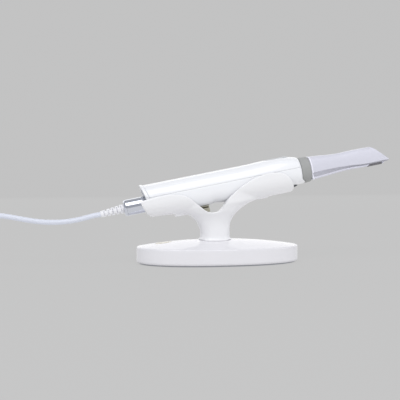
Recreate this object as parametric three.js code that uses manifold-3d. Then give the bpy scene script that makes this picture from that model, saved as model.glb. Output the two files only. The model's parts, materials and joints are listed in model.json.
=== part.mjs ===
// A corded intraoral scanner wand lying in its weighted desk cradle.
// Millimetres, +Z up, +X towards the wand's mirror tip. The origin is the centre of the flat
// underside of the anti-slip pad. Inside the wand group, x runs along the wand towards its tip,
// z stands square to it, and the group's origin is the centre of the grey seal ring.

import * as THREE from 'three';
import { mergeVertices } from 'three/addons/utils/BufferGeometryUtils.js';
import Module from 'manifold-3d';

const wasm = await Module();
wasm.setup();

// ---------------------------------------------------------------- driving dimensions

const GAP = 0.3; // clearance between touching pieces
const TILT = THREE.MathUtils.degToRad(10.9); // how far the wand's nose points up
const WAND_AT = new THREE.Vector3(86.75, 0, 91.1);

// wand body
const BODY_REAR = -158.5;
const BODY_FRONT = -4.2;
const BODY_TOP = 16.5;
const BODY_FLOOR = -15.6;
const BODY_HALF_WIDTH = 17;
const BODY_POWER = 2.3; // superellipse power of the body's section
const SHELL_WALL = 2;
const SEAM = 4.5; // height of the parting line between the two shells
const RAKE = 0.26; // how far the rear face leans back for each millimetre of height
const BEZEL_LENGTH = 3.2;
const BEZEL_PROUD = 0.9;
const SCREW_PLACES = [[-140, 10.4], [-140, -10.4], [-54, 10.4], [-54, -10.4]];

// wand fittings
const RING_REAR = -3.9;
const RING_FRONT = 5.8;
const COLLAR_END = -183.9;
const COLLAR_RADIUS = 8;
const COLLAR_AXIS = -2.05; // height of the collar's axis
const RELIEF_LENGTH = 23.4;
const RELIEF_DROOP = THREE.MathUtils.degToRad(2.8); // how much steeper the relief hangs
const SCAN_BUTTON = { middle: -25.5, length: 25, width: 11 };
const TRIGGER = { rear: -38, front: -8, width: 12, floor: -15.3 };

// removable tip
const TIP_REAR = 6.1;
const TIP_TOP_END = 72.6;
const TIP_NOSE = 89;
const TIP_HALF_WIDTH = 8.8;
const TIP_BORE = { half: 6.9, floor: -6.6, top: 7.4 };
const WINDOW = { rear: 65, front: 81.4, ceiling: -6.9 };
const NOSE_LENGTH = 34;

// cradle
const CUP_WALL = 3.3;
const CUP_CLEARANCE = 0.6;
const CUP_FLOOR = -18.8;
const CUP_FRONT = -14.4;
const CUP_REAR = -168;
const PAD_HALF_WIDTH = 9;
const PAD_THICKNESS = 1.1;
const PAD_SPANS = [[-143.2, -101.7], [-81.2, -41.2]]; // each pad's two ends along the wand
const PAD_HEEL = { length: 7, floor: -21.2, top: -16.9 }; // the rear pad's thick front end
// the dip between the cups, on its near and its far side
const NEAR_DIP = [[-66.5, -1.4], [-75, -6], [-83.4, -12], [-90.2, -18.8], [-95.5, -22],
  [-99.5, -22.2], [-103.5, -21], [-107.5, -18.2]];
const FAR_DIP = [[-66.5, -3], [-72, -8], [-77.5, -14], [-83.5, -21], [-90, -25.3],
  [-98, -26.4], [-103.5, -24.2], [-107.5, -19.6]];

// base
const BASE_LENGTH = 162;
const BASE_DEPTH = 78;
const BASE_RIM = 16.8; // height of the base's top at its edge
const BASE_CROWN = 23.1; // and at its centre
const BASE_POWER = 2.25;
const PAD_HEIGHT = 1.8;
const BASE_WALL = 2.6;
const NECK_X = -3;
const NECK_SCREWS = [NECK_X - 8, NECK_X + 8]; // each screw's x
const BASE_SCREWS = [[-56, 0], [56, 0], [0, -28], [0, 28]];
const BADGE = { x: -54.3, y: 2, halfX: 8.2, halfY: 6, turn: 12, depth: 1.1, proud: 0.3 };

// data cable
const CABLE_DIAMETER = 5;
const COIL = { x: -262, y: 28, inner: 20.3, outer: 35.7, floor: 0.8, height: 15.4 };
const TAIL_Y = COIL.y - COIL.outer + CABLE_DIAMETER / 2 + 0.2;
const TAIL_Z = 3.3;
const PLUG_AT = COIL.x - 31;

// ---------------------------------------------------------------- materials

const material = (color, roughness, metalness = 0) =>
  new THREE.MeshStandardMaterial({ color, roughness, metalness });

const GLOSS_WHITE = material(0xf4f6f8, 0.18);
const SATIN_WHITE = material(0xe8e8e6, 0.32);
const TIP_WHITE = material(0xdcdce8, 0.3);
const SEAL_GREY = material(0xa9abab, 0.6);
const CAP_GREY = material(0xb9bcbf, 0.5);
const CHROME = material(0xd0d3da, 0.08, 1);
const ALUMINIUM = material(0xb4b7bb, 0.4, 1);
const STEEL = material(0x9a9da2, 0.35, 1);
const CAST_IRON = material(0x4b4d50, 0.7, 0.8);
const BOARD_GREEN = material(0x1d6a45, 0.5);
const BLACK = material(0x26282b, 0.6);
const GLASS = material(0xdfeaf2, 0.05);
const MIRROR = material(0xe6ebee, 0.03, 1);
const DARK_RUBBER = material(0x55585a, 0.8);
const SILICONE = material(0xb9b7a6, 0.7);
const CABLE_WHITE = material(0xdadff0, 0.45);
const PEARL = material(0xd8d2c2, 0.3);

// ---------------------------------------------------------------- solid helpers

function toSolid(geometry) {
  const bare = geometry.clone();
  bare.deleteAttribute('normal');
  bare.deleteAttribute('uv');
  const merged = mergeVertices(bare, 1e-4);
  return new wasm.Manifold(new wasm.Mesh({
    numProp: 3,
    vertProperties: new Float32Array(merged.attributes.position.array),
    triVerts: new Uint32Array(merged.index.array),
  }));
}

function toGeometry(solid) {
  const mesh = solid.getMesh();
  const geometry = new THREE.BufferGeometry();
  geometry.setAttribute('position', new THREE.BufferAttribute(mesh.vertProperties, 3));
  geometry.setIndex(new THREE.BufferAttribute(mesh.triVerts, 1));
  geometry.computeVertexNormals();
  return geometry;
}

function join(first, ...others) {
  return toGeometry(others.reduce((sum, other) => sum.add(toSolid(other)), toSolid(first)));
}

function cut(first, ...others) {
  return toGeometry(others.reduce((rest, other) => rest.subtract(toSolid(other)), toSolid(first)));
}

function common(first, ...others) {
  return toGeometry(others.reduce((part, other) => part.intersect(toSolid(other)), toSolid(first)));
}

// A box given by its lowest and highest corners.
function block(low, high) {
  const size = high.map((value, i) => value - low[i]);
  const box = new THREE.BoxGeometry(...size);
  return box.translate(...low.map((value, i) => value + size[i] / 2));
}

// A cylinder along x or z between two places on that axis.
function rod(axis, radius, from, to, across = [0, 0], sides = 24) {
  const cylinder = new THREE.CylinderGeometry(radius, radius, to - from, sides);
  const middle = (from + to) / 2;
  if (axis === 'x') return cylinder.rotateZ(-Math.PI / 2).translate(middle, ...across);
  return cylinder.rotateX(Math.PI / 2).translate(...across, middle);
}

// A body of revolution about the x axis. The profile holds [x, radius] pairs from end to end.
function turned(profile, sides = 32) {
  const points = profile.map(([along, radius]) => new THREE.Vector2(radius, along));
  return new THREE.LatheGeometry(points, sides).rotateZ(-Math.PI / 2);
}

// A flat outline in x and z, made thick along y about y = 0.
function sideSlab(shape, width, segments = 8) {
  const slab = new THREE.ExtrudeGeometry(shape, {
    depth: width, bevelEnabled: false, curveSegments: segments,
  });
  return slab.rotateX(Math.PI / 2).translate(0, width / 2, 0);
}

const signedPower = (value, power) => Math.sign(value) * Math.abs(value) ** power;

// A superellipse standing across the x axis: its points have y and z.
function ovalSection(x, { top, floor, half, power }, count) {
  const middle = (top + floor) / 2;
  const rise = (top - floor) / 2;
  return Array.from({ length: count }, (_, i) => {
    const angle = (2 * Math.PI * (i + 0.5)) / count;
    return new THREE.Vector3(
      x,
      half * signedPower(Math.cos(angle), 2 / power),
      middle + rise * signedPower(Math.sin(angle), 2 / power),
    );
  });
}

// A superellipse lying flat at height z.
function flatSection(z, { x, halfX, halfY, power }, count) {
  return Array.from({ length: count }, (_, i) => {
    const angle = (2 * Math.PI * (i + 0.5)) / count;
    return new THREE.Vector3(
      x + halfX * signedPower(Math.cos(angle), 2 / power),
      halfY * signedPower(Math.sin(angle), 2 / power),
      z,
    );
  });
}

// Skins a row of sections that have the same number of points, and closes both ends.
function loft(sections) {
  const count = sections[0].length;
  const points = sections.flat();
  const triangles = [];
  for (let s = 0; s < sections.length - 1; s += 1) {
    for (let i = 0; i < count; i += 1) {
      const a = s * count + i;
      const b = s * count + ((i + 1) % count);
      triangles.push([a, b, a + count], [b, b + count, a + count]);
    }
  }
  for (const [start, forward] of [[0, false], [(sections.length - 1) * count, true]]) {
    const centre = new THREE.Vector3();
    for (let i = 0; i < count; i += 1) centre.addScaledVector(points[start + i], 1 / count);
    points.push(centre);
    for (let i = 0; i < count; i += 1) {
      const edge = [start + i, start + ((i + 1) % count)];
      triangles.push([points.length - 1, ...(forward ? edge : edge.reverse())]);
    }
  }
  const volume = triangles.reduce((sum, [a, b, c]) =>
    sum + points[a].dot(new THREE.Vector3().crossVectors(points[b], points[c])), 0);
  const index = triangles.flatMap((triangle) => (volume < 0 ? triangle.reverse() : triangle));
  const geometry = new THREE.BufferGeometry().setFromPoints(points);
  geometry.setIndex(index);
  geometry.computeVertexNormals();
  return geometry;
}

// Eases from 0 to 1 while x goes from start to end.
const ease = (x, start, end) => THREE.MathUtils.smoothstep((x - start) / (end - start), 0, 1);

// ---------------------------------------------------------------- wand body outline

// The body's section at x, grown outwards by offset.
function bodySection(x, offset = 0) {
  const front = Math.max(0, x + 27) / 24;
  const crown = 0.8 * ease(x, -62, -30);
  const scallop = 1.2 * Math.exp(-(((x + 95) / 6) ** 2)); // finger relief under the grip
  const tail = Math.max(0, -122 - x) / 33;
  return {
    top: BODY_TOP + crown - 3.7 * front ** 2 + offset,
    floor: BODY_FLOOR + 2.6 * ease(x, -46, -12) + scallop + 2.3 * tail - offset,
    half: BODY_HALF_WIDTH - 3.3 * (Math.max(0, x + 30) / 27) ** 2 + offset,
    power: BODY_POWER,
  };
}

const BODY_STATIONS = [
  -172, -140, -122, -102, -95, -88, -64, -46, -34, -24, -15, -9, BODY_FRONT,
];
const BODY_SIDES = 24;

function bodyLoft(offset, rear = -172, front = BODY_FRONT) {
  const inside = BODY_STATIONS.filter((x) => x > rear && x < front);
  const stations = [rear, ...inside, front];
  return loft(stations.map((x) => ovalSection(x, bodySection(x, offset), BODY_SIDES)));
}

// Everything in front of the raked plane that crosses the seam height at x.
function aheadOfRake(x) {
  const shape = new THREE.Shape([
    new THREE.Vector2(x - RAKE * (60 - SEAM), 60),
    new THREE.Vector2(x + RAKE * (60 + SEAM), -60),
    new THREE.Vector2(200, -60),
    new THREE.Vector2(200, 60),
  ]);
  return sideSlab(shape, 120);
}

// ---------------------------------------------------------------- wand shells

function buttonOutline({ middle, length, width }, grow, low, high) {
  const radius = width / 2 + grow;
  const reach = length / 2 - width / 2;
  return join(
    block([middle - reach, -radius, low], [middle + reach, radius, high]),
    rod('z', radius, low, high, [middle - reach, 0]),
    rod('z', radius, low, high, [middle + reach, 0]),
  );
}

const triggerBody = { middle: (TRIGGER.rear + TRIGGER.front) / 2,
  length: TRIGGER.front - TRIGGER.rear, width: TRIGGER.width };

function bodyShell() {
  return cut(
    common(bodyLoft(0), aheadOfRake(BODY_REAR)),
    bodyLoft(-SHELL_WALL, -175, BODY_FRONT + 5),
  );
}

function upperShell() {
  const half = common(bodyShell(), block([-200, -40, SEAM + GAP / 2], [20, 40, 40]));
  const bosses = SCREW_PLACES.map(([x, y]) =>
    common(rod('z', 2.7, SEAM + GAP / 2, 20, [x, y], 16), bodyLoft(-1)));
  const sockets = SCREW_PLACES.map(([x, y]) => rod('z', 1.5, 0, 10.2, [x, y], 16));
  return cut(join(half, ...bosses), ...sockets, buttonOutline(SCAN_BUTTON, GAP, 8, 30));
}

function lowerShell() {
  const half = common(bodyShell(), block([-200, -40, -40], [20, 40, SEAM - GAP / 2]));
  const bosses = SCREW_PLACES.map(([x, y]) =>
    common(rod('z', 3.2, -20, SEAM - GAP / 2, [x, y], 16), bodyLoft(-1)));
  const sockets = SCREW_PLACES.flatMap(([x, y]) => [
    rod('z', 1.5, -20, 10, [x, y], 16),
    rod('z', 2.5, -20, -8, [x, y], 16),
  ]);
  return cut(join(half, ...bosses), ...sockets, buttonOutline(triggerBody, GAP, -30, -6));
}

function shellScrew([x, y]) {
  const profile = [[-9.9, 0], [-9.9, 1.9], [-8.0 - GAP, 1.9], [-8.0 - GAP, 1.1], [9.6, 1.1], [9.9, 0]];
  return turned(profile, 16).rotateY(-Math.PI / 2).translate(x, y, 0);
}

// Leans a piece back so that its faces follow the body's raked rear end.
function raked(geometry) {
  const lean = new THREE.Matrix4().makeShear(0, 0, 0, 0, 0, 0);
  lean.elements[8] = -RAKE;
  return geometry.translate(0, 0, -SEAM).applyMatrix4(lean).translate(0, 0, SEAM);
}

function rearBezel() {
  const front = BODY_REAR - GAP;
  const rear = front - BEZEL_LENGTH;
  const slice = (offset, from, to) => loft([from, (from + to) / 2, to].map((x) =>
    ovalSection(x, bodySection(BODY_REAR, offset), BODY_SIDES)));
  const proud = loft([
    ovalSection(rear, bodySection(BODY_REAR, BEZEL_PROUD - 0.8), BODY_SIDES),
    ovalSection(rear + 0.8, bodySection(BODY_REAR, BEZEL_PROUD), BODY_SIDES),
    ovalSection(front - 0.8, bodySection(BODY_REAR, BEZEL_PROUD), BODY_SIDES),
    ovalSection(front, bodySection(BODY_REAR, BEZEL_PROUD - 0.8), BODY_SIDES),
  ]);
  const arch = common(proud, block([-200, -40, SEAM], [0, 40, 40]));
  return raked(cut(join(slice(0, rear, front), arch), slice(-2.4, rear - 1, front + 1)));
}

function rearCap() {
  const front = BODY_REAR - GAP;
  const plate = loft([front - 1.6, front + 0.2].map((x) =>
    ovalSection(x, bodySection(BODY_REAR, -2.4 - GAP), BODY_SIDES)));
  return cut(raked(plate), rod('x', COLLAR_RADIUS + GAP, -200, -100, [0, COLLAR_AXIS], 32));
}

function rearCollar() {
  const bend = 2.8;
  const corner = [0, 0.25, 0.5, 0.75, 1].map((t) => {
    const angle = (t * Math.PI) / 2;
    return [COLLAR_END + bend * (1 - Math.sin(angle)), COLLAR_RADIUS - bend * (1 - Math.cos(angle))];
  }).reverse();
  const shell = turned([
    [COLLAR_END, 4.9], ...corner,
    [-152.6, COLLAR_RADIUS], [-152.6, 9.2], [-150.8, 9.2], [-150.8, 6.4],
    [COLLAR_END + 3, 6.4], [COLLAR_END + 3, 4.9], [COLLAR_END, 4.9],
  ], 28);
  return shell.translate(0, 0, COLLAR_AXIS);
}

// ---------------------------------------------------------------- cable exit

// Pieces on the cable's exit are drawn along -x from the collar's end, then hung at the droop.
function hang(geometry) {
  return geometry.rotateY(-RELIEF_DROOP).translate(COLLAR_END, 0, COLLAR_AXIS);
}

function strainRelief() {
  const root = [[5.6, 0], [5.6, 4.3], [-0.6, 4.3], [-1.2, 4.7], [-2.8, 4.4]];
  const slots = 7;
  const pitch = (RELIEF_LENGTH - 7) / slots;
  const radiusAt = (x) => THREE.MathUtils.mapLinear(x, -2.8, -RELIEF_LENGTH, 4.4, 3);
  const ribs = Array.from({ length: slots }, (_, i) => {
    const x = -2.8 - pitch * (i + 0.45);
    const outer = radiusAt(x);
    return [[x, outer], [x, outer - 0.7], [x - pitch * 0.4, outer - 0.7], [x - pitch * 0.4, outer]];
  }).flat();
  const end = [[-RELIEF_LENGTH, radiusAt(-RELIEF_LENGTH)], [-RELIEF_LENGTH, 0]];
  return hang(turned([...root, ...ribs, ...end].reverse(), 12));
}

function cableClamp() {
  const ring = cut(
    turned([[-173, 0], [-173, 6.1], [-167, 6.1], [-167, 0]], 24),
    rod('x', 2.4, -180, -160, [0, 0], 16),
  );
  return ring.translate(0, 0, COLLAR_AXIS);
}

function innerHarness() {
  const path = new THREE.CatmullRomCurve3([
    new THREE.Vector3(-178, 0, COLLAR_AXIS),
    new THREE.Vector3(-166, 0, COLLAR_AXIS),
    new THREE.Vector3(-158, 0, -1),
    new THREE.Vector3(-152, 0, 1.4),
    new THREE.Vector3(-148.3, 0, 3.2),
  ]);
  return tube(path, 1.9, 12, 8);
}

// A round tube with closed ends along a curve.
function tube(path, radius, steps, sides) {
  const section = new THREE.Shape(Array.from({ length: sides }, (_, i) => {
    const angle = (2 * Math.PI * i) / sides;
    return new THREE.Vector2(radius * Math.cos(angle), radius * Math.sin(angle));
  }));
  return new THREE.ExtrudeGeometry(section, { steps, extrudePath: path, bevelEnabled: false });
}

// ---------------------------------------------------------------- inside the wand

function heatSpreader() {
  const plate = block([-146, -7, -0.9], [-70, 7, 0.9]);
  const fins = [-6, -3.6, -1.2, 1.2, 3.6, 6].map((y) =>
    block([-140, y - 0.5, -5], [-76, y + 0.5, -0.5]));
  return join(plate, ...fins);
}

function mainBoard() {
  return join(
    block([-144, -6.8, 1.2], [-72, 6.8, 2.8]),
    block([-118, -5, 2.7], [-106, 5, 4.2]),
    block([-98, -3.5, 2.7], [-90, 3.5, 4]),
    block([-84, -5, 2.7], [-76, 5, 3.8]),
  );
}

function boardConnector() {
  return block([-147.9, -4, 3.1], [-140, 4, 6.6]);
}

function projectorModule() {
  return join(
    block([-66, -7, -8.4], [-40, 7, 7.6]),
    rod('x', 5.6, -40.5, -36, [0, -0.2], 24),
  );
}

function ledBoard() {
  return join(block([-68.2, -7, -8], [-66.3, 7, 7.4]), block([-69.4, -2, -2], [-68, 2, 2]));
}

function sensorBoard() {
  return join(block([-35.7, -7.5, -8], [-34.1, 7.5, 7.6]), block([-34.3, -4, -4], [-32.6, 4, 4]));
}

function lensBarrel() {
  return turned([
    [-32.3, 0], [-32.3, 5.6], [-20, 5.6], [-20, 5], [-8, 5], [-8, 6], [-4.3, 6], [-4.3, 4.2],
    [-6, 3.4], [-6, 0],
  ], 24);
}

function opticalNose() {
  const outline = { top: TIP_BORE.top - 0.5, floor: TIP_BORE.floor + 0.5,
    half: TIP_BORE.half - 0.5, power: 3 };
  const inner = { top: outline.top - 1.4, floor: outline.floor + 1.4,
    half: outline.half - 1.4, power: 3 };
  const flange = { top: 10.6, floor: -10, half: 10.9, power: BODY_POWER };
  const prism = (shape, from, to, count = 28) =>
    loft([from, to].map((x) => ovalSection(x, shape, count)));
  return cut(
    join(prism(outline, RING_REAR, NOSE_LENGTH), prism(flange, RING_REAR, RING_REAR + 2)),
    prism(inner, RING_REAR - 1, NOSE_LENGTH + 1),
  );
}

function noseWindow() {
  const outline = { top: TIP_BORE.top - 0.5, floor: TIP_BORE.floor + 0.5,
    half: TIP_BORE.half - 0.5, power: 3 };
  return loft([NOSE_LENGTH + GAP, NOSE_LENGTH + GAP + 1.2].map((x) => ovalSection(x, outline, 28)));
}

function sealRing() {
  const rim = (x) => ({ top: 13.4 - 0.06 * (x - RING_REAR), floor: -12.8 + 0.12 * (x - RING_REAR),
    half: 13.4 - 0.08 * (x - RING_REAR), power: BODY_POWER });
  const ring = loft([RING_REAR, RING_REAR + 0.8, RING_FRONT - 1, RING_FRONT].map((x, i) => {
    const drop = i === 0 || i === 3 ? 0.6 : 0;
    const shape = rim(x);
    return ovalSection(x, { ...shape, top: shape.top - drop, floor: shape.floor + drop,
      half: shape.half - drop }, 32);
  }));
  const prism = (shape, from, to) => loft([from, to].map((x) => ovalSection(x, shape, 28)));
  const flangeSeat = { top: 10.9, floor: -10.3, half: 11.2, power: BODY_POWER };
  const bore = { top: TIP_BORE.top - 0.2, floor: TIP_BORE.floor + 0.2,
    half: TIP_BORE.half - 0.2, power: 3 };
  return cut(ring, prism(flangeSeat, RING_REAR - 1, RING_REAR + 2 + GAP), prism(bore, -10, 20));
}

// ---------------------------------------------------------------- buttons

function scanButton() {
  const cap = cut(
    common(buttonOutline(SCAN_BUTTON, 0, 8, 30), bodyLoft(0.5)),
    bodyLoft(-2.2),
  );
  return join(cap, rod('z', 1.5, 12.8, 15.6, [SCAN_BUTTON.middle, 0], 12));
}

function scanSwitch() {
  const x = SCAN_BUTTON.middle;
  return join(block([x - 3, -3, 9.3], [x + 3, 3, 10.9]), rod('z', 1.2, 10.7, 11.6, [x, 0], 12));
}

function buttonBoard() {
  return block([-44, -5.5, 7.9], [-14, 5.5, 9]);
}

function triggerButton() {
  const outline = buttonOutline(triggerBody, 0, -30, -6);
  const belly = loft([-48, -40, -34, -28, -22, -16, -11, -6].map((x) => ovalSection(x, {
    top: 10, floor: TRIGGER.floor + 0.9 * ease(x, -16, -8) - 0.3 * ease(-x, 20, 34),
    half: 12.5, power: 2.6 }, BODY_SIDES)));
  const cap = cut(common(outline, belly), bodyLoft(-2.6, -60, 10));
  return join(cap, rod('z', 1.5, -13, -9.6, [-24, 0], 12));
}

function triggerSwitch() {
  return join(
    block([-27, -3, -7.9], [-21, 3, -6.9]),
    rod('z', 1.2, -8.3, -7.7, [-24, 0], 12),
  );
}

function triggerBoard() {
  return block([-32, -5, -6.6], [-15, 5, -5.9]);
}

// ---------------------------------------------------------------- removable tip

// The tip's section: an upper dome, straight sides, and a narrower keel below.
function tipSection(x, grow = 0) {
  const root = 1 - ease(x, TIP_REAR, 42);
  const half = TIP_HALF_WIDTH + 3 * root + grow;
  const top = 9.6 + 2.6 * root + 0.5 * ease(x, 40, 52) - 0.6 * ease(x, 52, 72) + grow;
  const floor = -10.6 + 2.15 * ease(x, 3, 48) - 0.6 * ease(x, 48, 66) - grow;
  const shoulder = floor + 4.7;
  const keel = half - 2.2;
  const dome = Array.from({ length: 17 }, (_, i) => {
    const angle = (Math.PI * i) / 16;
    return [half * signedPower(Math.cos(angle), 2 / 3.2),
      shoulder + (top - shoulder) * signedPower(Math.sin(angle), 2 / 3.2)];
  });
  const under = [[-keel, floor + 1.7], [-keel, floor + 0.5], [-keel + 1, floor],
    [keel - 1, floor], [keel, floor + 0.5], [keel, floor + 1.7]];
  return [...dome, ...under].map(([y, z]) => new THREE.Vector3(x, y, z));
}

function tipSleeve() {
  const stations = [TIP_REAR, 14, 22, 30, 40, 50, 60, 72, TIP_NOSE + 3];
  const body = loft(stations.map((x) => tipSection(x)));
  const lip = loft([TIP_REAR, TIP_REAR + 0.7, TIP_REAR + 1.6].map((x, i) =>
    tipSection(x, [0.2, 0.5, 0.05][i])));
  // the end is sloped over the mirror, with rounded corners above and below
  const profile = new THREE.Shape();
  profile.moveTo(0, -20);
  profile.lineTo(0, 20);
  profile.lineTo(TIP_TOP_END - 1.5, 20);
  profile.lineTo(TIP_TOP_END - 1.5, 9.7);
  profile.quadraticCurveTo(TIP_TOP_END + 1.2, 9.2, TIP_TOP_END + 2.6, 8.1);
  profile.lineTo(TIP_NOSE - 2.4, -3.2);
  profile.quadraticCurveTo(TIP_NOSE + 0.3, -5.2, TIP_NOSE - 2, -6.2);
  profile.lineTo(WINDOW.front - 0.6, -7.5);
  profile.lineTo(WINDOW.front - 0.6, -20);
  const bore = (from, to) => loft([from, to].map((x) =>
    ovalSection(x, { top: TIP_BORE.top, floor: TIP_BORE.floor, half: TIP_BORE.half, power: 3 }, 28)));
  const slope = new THREE.Shape([
    new THREE.Vector2(0, -30), new THREE.Vector2(0, 30), new THREE.Vector2(42.6, 30),
    new THREE.Vector2(66.4, 9.6), new THREE.Vector2(84.8, -6.2), new THREE.Vector2(84.8, -30),
  ]);
  const cavity = common(bore(TIP_REAR - 2, TIP_NOSE), sideSlab(slope, 40));
  const scoop = new THREE.Shape([
    new THREE.Vector2(WINDOW.rear - 1.6, -20), new THREE.Vector2(WINDOW.rear, -9),
    new THREE.Vector2(WINDOW.rear + 3, WINDOW.ceiling), new THREE.Vector2(WINDOW.front, WINDOW.ceiling),
    new THREE.Vector2(WINDOW.front, -20),
  ]);
  const windowHole = block([WINDOW.rear, -5.4, -20], [WINDOW.front - 0.4, 5.4, -3]);
  return cut(common(join(body, lip), sideSlab(profile, 60)), cavity, sideSlab(scoop, 60), windowHole);
}

// The mirror lies flat under the sloped end of the tip.
function tipMirror() {
  const slope = Math.atan2(9.6 + 6.2, 84.8 - 66.4);
  const plate = block([-6.2, -5.2, -1.2], [7.6, 5.2, 0]);
  return plate.translate(0, 0, -0.35).rotateY(slope).translate(75.6, 0, 1.7);
}

// ---------------------------------------------------------------- cradle

// The cup outside and inside are open upwards, so that the wand lifts straight out.
function cupSection(x, half, floor, count = 16) {
  const waist = 0.5;
  const bowl = Array.from({ length: count + 1 }, (_, i) => {
    const angle = Math.PI + (Math.PI * i) / count;
    return [half * signedPower(Math.cos(angle), 2 / BODY_POWER),
      waist + (waist - floor) * signedPower(Math.sin(angle), 2 / BODY_POWER)];
  });
  return [...bowl, [half, 34], [-half, 34]].map(([y, z]) => new THREE.Vector3(x, y, z));
}

function cupOutside() {
  return loft([CUP_REAR, -153, -143, -133, -121, -60, CUP_FRONT].map((x) => {
    const rise = 3.1 * (Math.max(0, -121.2 - x) / 33) ** 0.85;
    return cupSection(x, BODY_HALF_WIDTH + CUP_CLEARANCE + CUP_WALL, CUP_FLOOR + rise);
  }));
}

function cupInside(extra, from, to) {
  const stations = BODY_STATIONS.filter((x) => x > from && x < to && (x < -110 || x > -80));
  return loft([from, ...stations, to].map((x) => {
    const tail = Math.max(0, -122 - x) / 33;
    return cupSection(x, BODY_HALF_WIDTH + CUP_CLEARANCE,
      BODY_FLOOR - CUP_CLEARANCE - extra + 2.3 * tail);
  }));
}

// The side view of the cradle in the wand's frame: both cups, and the dip between them.
function cradleOutline(dip) {
  const shape = new THREE.Shape();
  shape.moveTo(-21, -90);
  shape.lineTo(-21, CUP_FLOOR);
  shape.quadraticCurveTo(-17, -18, -16.2, -12);
  shape.splineThru([
    new THREE.Vector2(-18.2, -5.3), new THREE.Vector2(-24.6, 2.2), new THREE.Vector2(-32.2, 4.6),
    new THREE.Vector2(-42.2, 5.2), new THREE.Vector2(-55, 3),
    ...dip.map(([x, z]) => new THREE.Vector2(x, z)),
    new THREE.Vector2(-113.4, -11.6), new THREE.Vector2(-120.9, -3.2),
    new THREE.Vector2(-128.2, 1.2), new THREE.Vector2(-137.2, 3.6),
    new THREE.Vector2(-148.2, 4), new THREE.Vector2(-167.6, 3),
  ]);
  shape.quadraticCurveTo(-167.2, -5, -163.4, -10.2);
  shape.quadraticCurveTo(-159.6, -15.4, -154.4, -18);
  shape.lineTo(-154.4, -90);
  return shape;
}

// The height of the base's domed top.
function domeHeight(x, y) {
  const fillet = 1.6;
  const share = ((Math.abs(x) / (BASE_LENGTH / 2 - fillet)) ** BASE_POWER
    + (Math.abs(y) / (BASE_DEPTH / 2 - fillet)) ** BASE_POWER) ** (1 / BASE_POWER);
  return BASE_RIM + (BASE_CROWN - BASE_RIM) * (1 - Math.min(1, share) ** 2);
}

// The neck flares out onto the dome below, and leans over to follow the wand above.
function neck() {
  const foot = [
    // height over the dome, half length x, half depth y
    [-5, 17.4, 15.2],
    [GAP, 16.6, 14.4],
    [0.9, 15.6, 13.3],
    [2, 15, 12.6],
    [4, 14.7, 12.1],
  ].map(([over, halfX, halfY]) => flatSection(0, { x: NECK_X, halfX, halfY, power: 2.2 }, 28)
    .map(({ x, y }) => new THREE.Vector3(x, y, domeHeight(x, y) + over)));
  const upper = [
    // height, centre x, half length x, half depth y, lean in degrees
    [30.5, NECK_X, 14.7, 12, 0],
    [37.5, -3.9, 15.9, 12.4, 1.2],
    [43.1, -4.4, 18.5, 13.6, 2.3],
    [47.5, -5.1, 22.7, 15.6, 2.6],
    [50.5, -5.5, 26.9, 17.4, 3.8],
    [54.8, -4.1, 34.6, 19, 6.8],
    [58.5, -2, 43, 19.8, 8],
    [63, 0, 49, 20.3, 9.5],
    [71, 2, 54, 20.6, 10.9],
  ].map(([height, middle, halfX, halfY, lean]) =>
    flatSection(height, { x: middle, halfX, halfY, power: 2.3 }, 28).map(({ x, y, z }) =>
      new THREE.Vector3(x, y, z + (x - middle) * Math.tan(THREE.MathUtils.degToRad(lean)))));
  return loft([...foot, ...upper]);
}

// Everything the side view keeps. Behind the near rim, the dip lies lower.
function cradleSilhouette() {
  const near = sideSlab(cradleOutline(NEAR_DIP), 48, 2).translate(0, -36, 0);
  const far = sideSlab(cradleOutline(FAR_DIP), 72.1, 2).translate(0, 24, 0);
  return join(near, far);
}

function cradle() {
  const place = new THREE.Matrix4().makeRotationY(-TILT).setPosition(WAND_AT);
  const lay = (geometry) => geometry.applyMatrix4(place);
  const trimmed = common(join(lay(cupOutside()), neck()), lay(cradleSilhouette()));
  const tongues = [
    lay(block([-136.2, -7, -19.9], [-123.2, 7, -16])),
    lay(block([-51.2, -7, -19.5], [-41.2, 7, -17.4])),
  ];
  return cut(
    join(trimmed, ...tongues),
    lay(cupInside(0, CUP_REAR - 2, CUP_FRONT + 2)),
    domeLoft(GAP),
    ...PAD_SPANS.map(([from, to]) => lay(padSolid(from - GAP, to + GAP, 0.5, PAD_HALF_WIDTH + GAP))),
    lay(padHeel(GAP)),
    ...NECK_SCREWS.map((x) => rod('z', 1.9, 10, 34.9, [x, 0], 16)),
  );
}

function padHeel(grow) {
  const front = PAD_SPANS[0][1];
  const half = PAD_HALF_WIDTH + grow;
  return block([front - PAD_HEEL.length - grow, -half, PAD_HEEL.floor - grow],
    [front + grow, half, PAD_HEEL.top + grow]);
}

function rearPad() {
  const [from, to] = PAD_SPANS[0];
  const strip = padSolid(from, to, 0, PAD_HALF_WIDTH);
  const relief = block([to - PAD_HEEL.length, -20, PAD_HEEL.top], [to + 1, 20, 0]);
  return cut(join(strip, padHeel(0)), relief);
}

// A strip that lines the cup's floor, sunk into it by a little under its own thickness.
function padSolid(from, to, deeper, halfWidth) {
  const under = cupInside(PAD_THICKNESS - CUP_CLEARANCE + deeper + GAP, from, to);
  const above = bodyLoftPlain(GAP, from - 5, to + 5);
  return common(cut(under, above), block([from, -halfWidth, -40], [to, halfWidth, -6]));
}

// The body without its finger relief, for the pads to follow.
function bodyLoftPlain(offset, from, to) {
  return loft([from, ...[-140, -122].filter((x) => x > from && x < to), to].map((x) => {
    const tail = Math.max(0, -122 - x) / 33;
    return ovalSection(x, { top: BODY_TOP, floor: BODY_FLOOR + 2.3 * tail - offset,
      half: BODY_HALF_WIDTH + offset, power: BODY_POWER }, BODY_SIDES);
  }));
}

// ---------------------------------------------------------------- base

const baseOutline = (z, inset) => flatSection(z, {
  x: 0, halfX: BASE_LENGTH / 2 - inset, halfY: BASE_DEPTH / 2 - inset, power: BASE_POWER,
}, 36);

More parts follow.
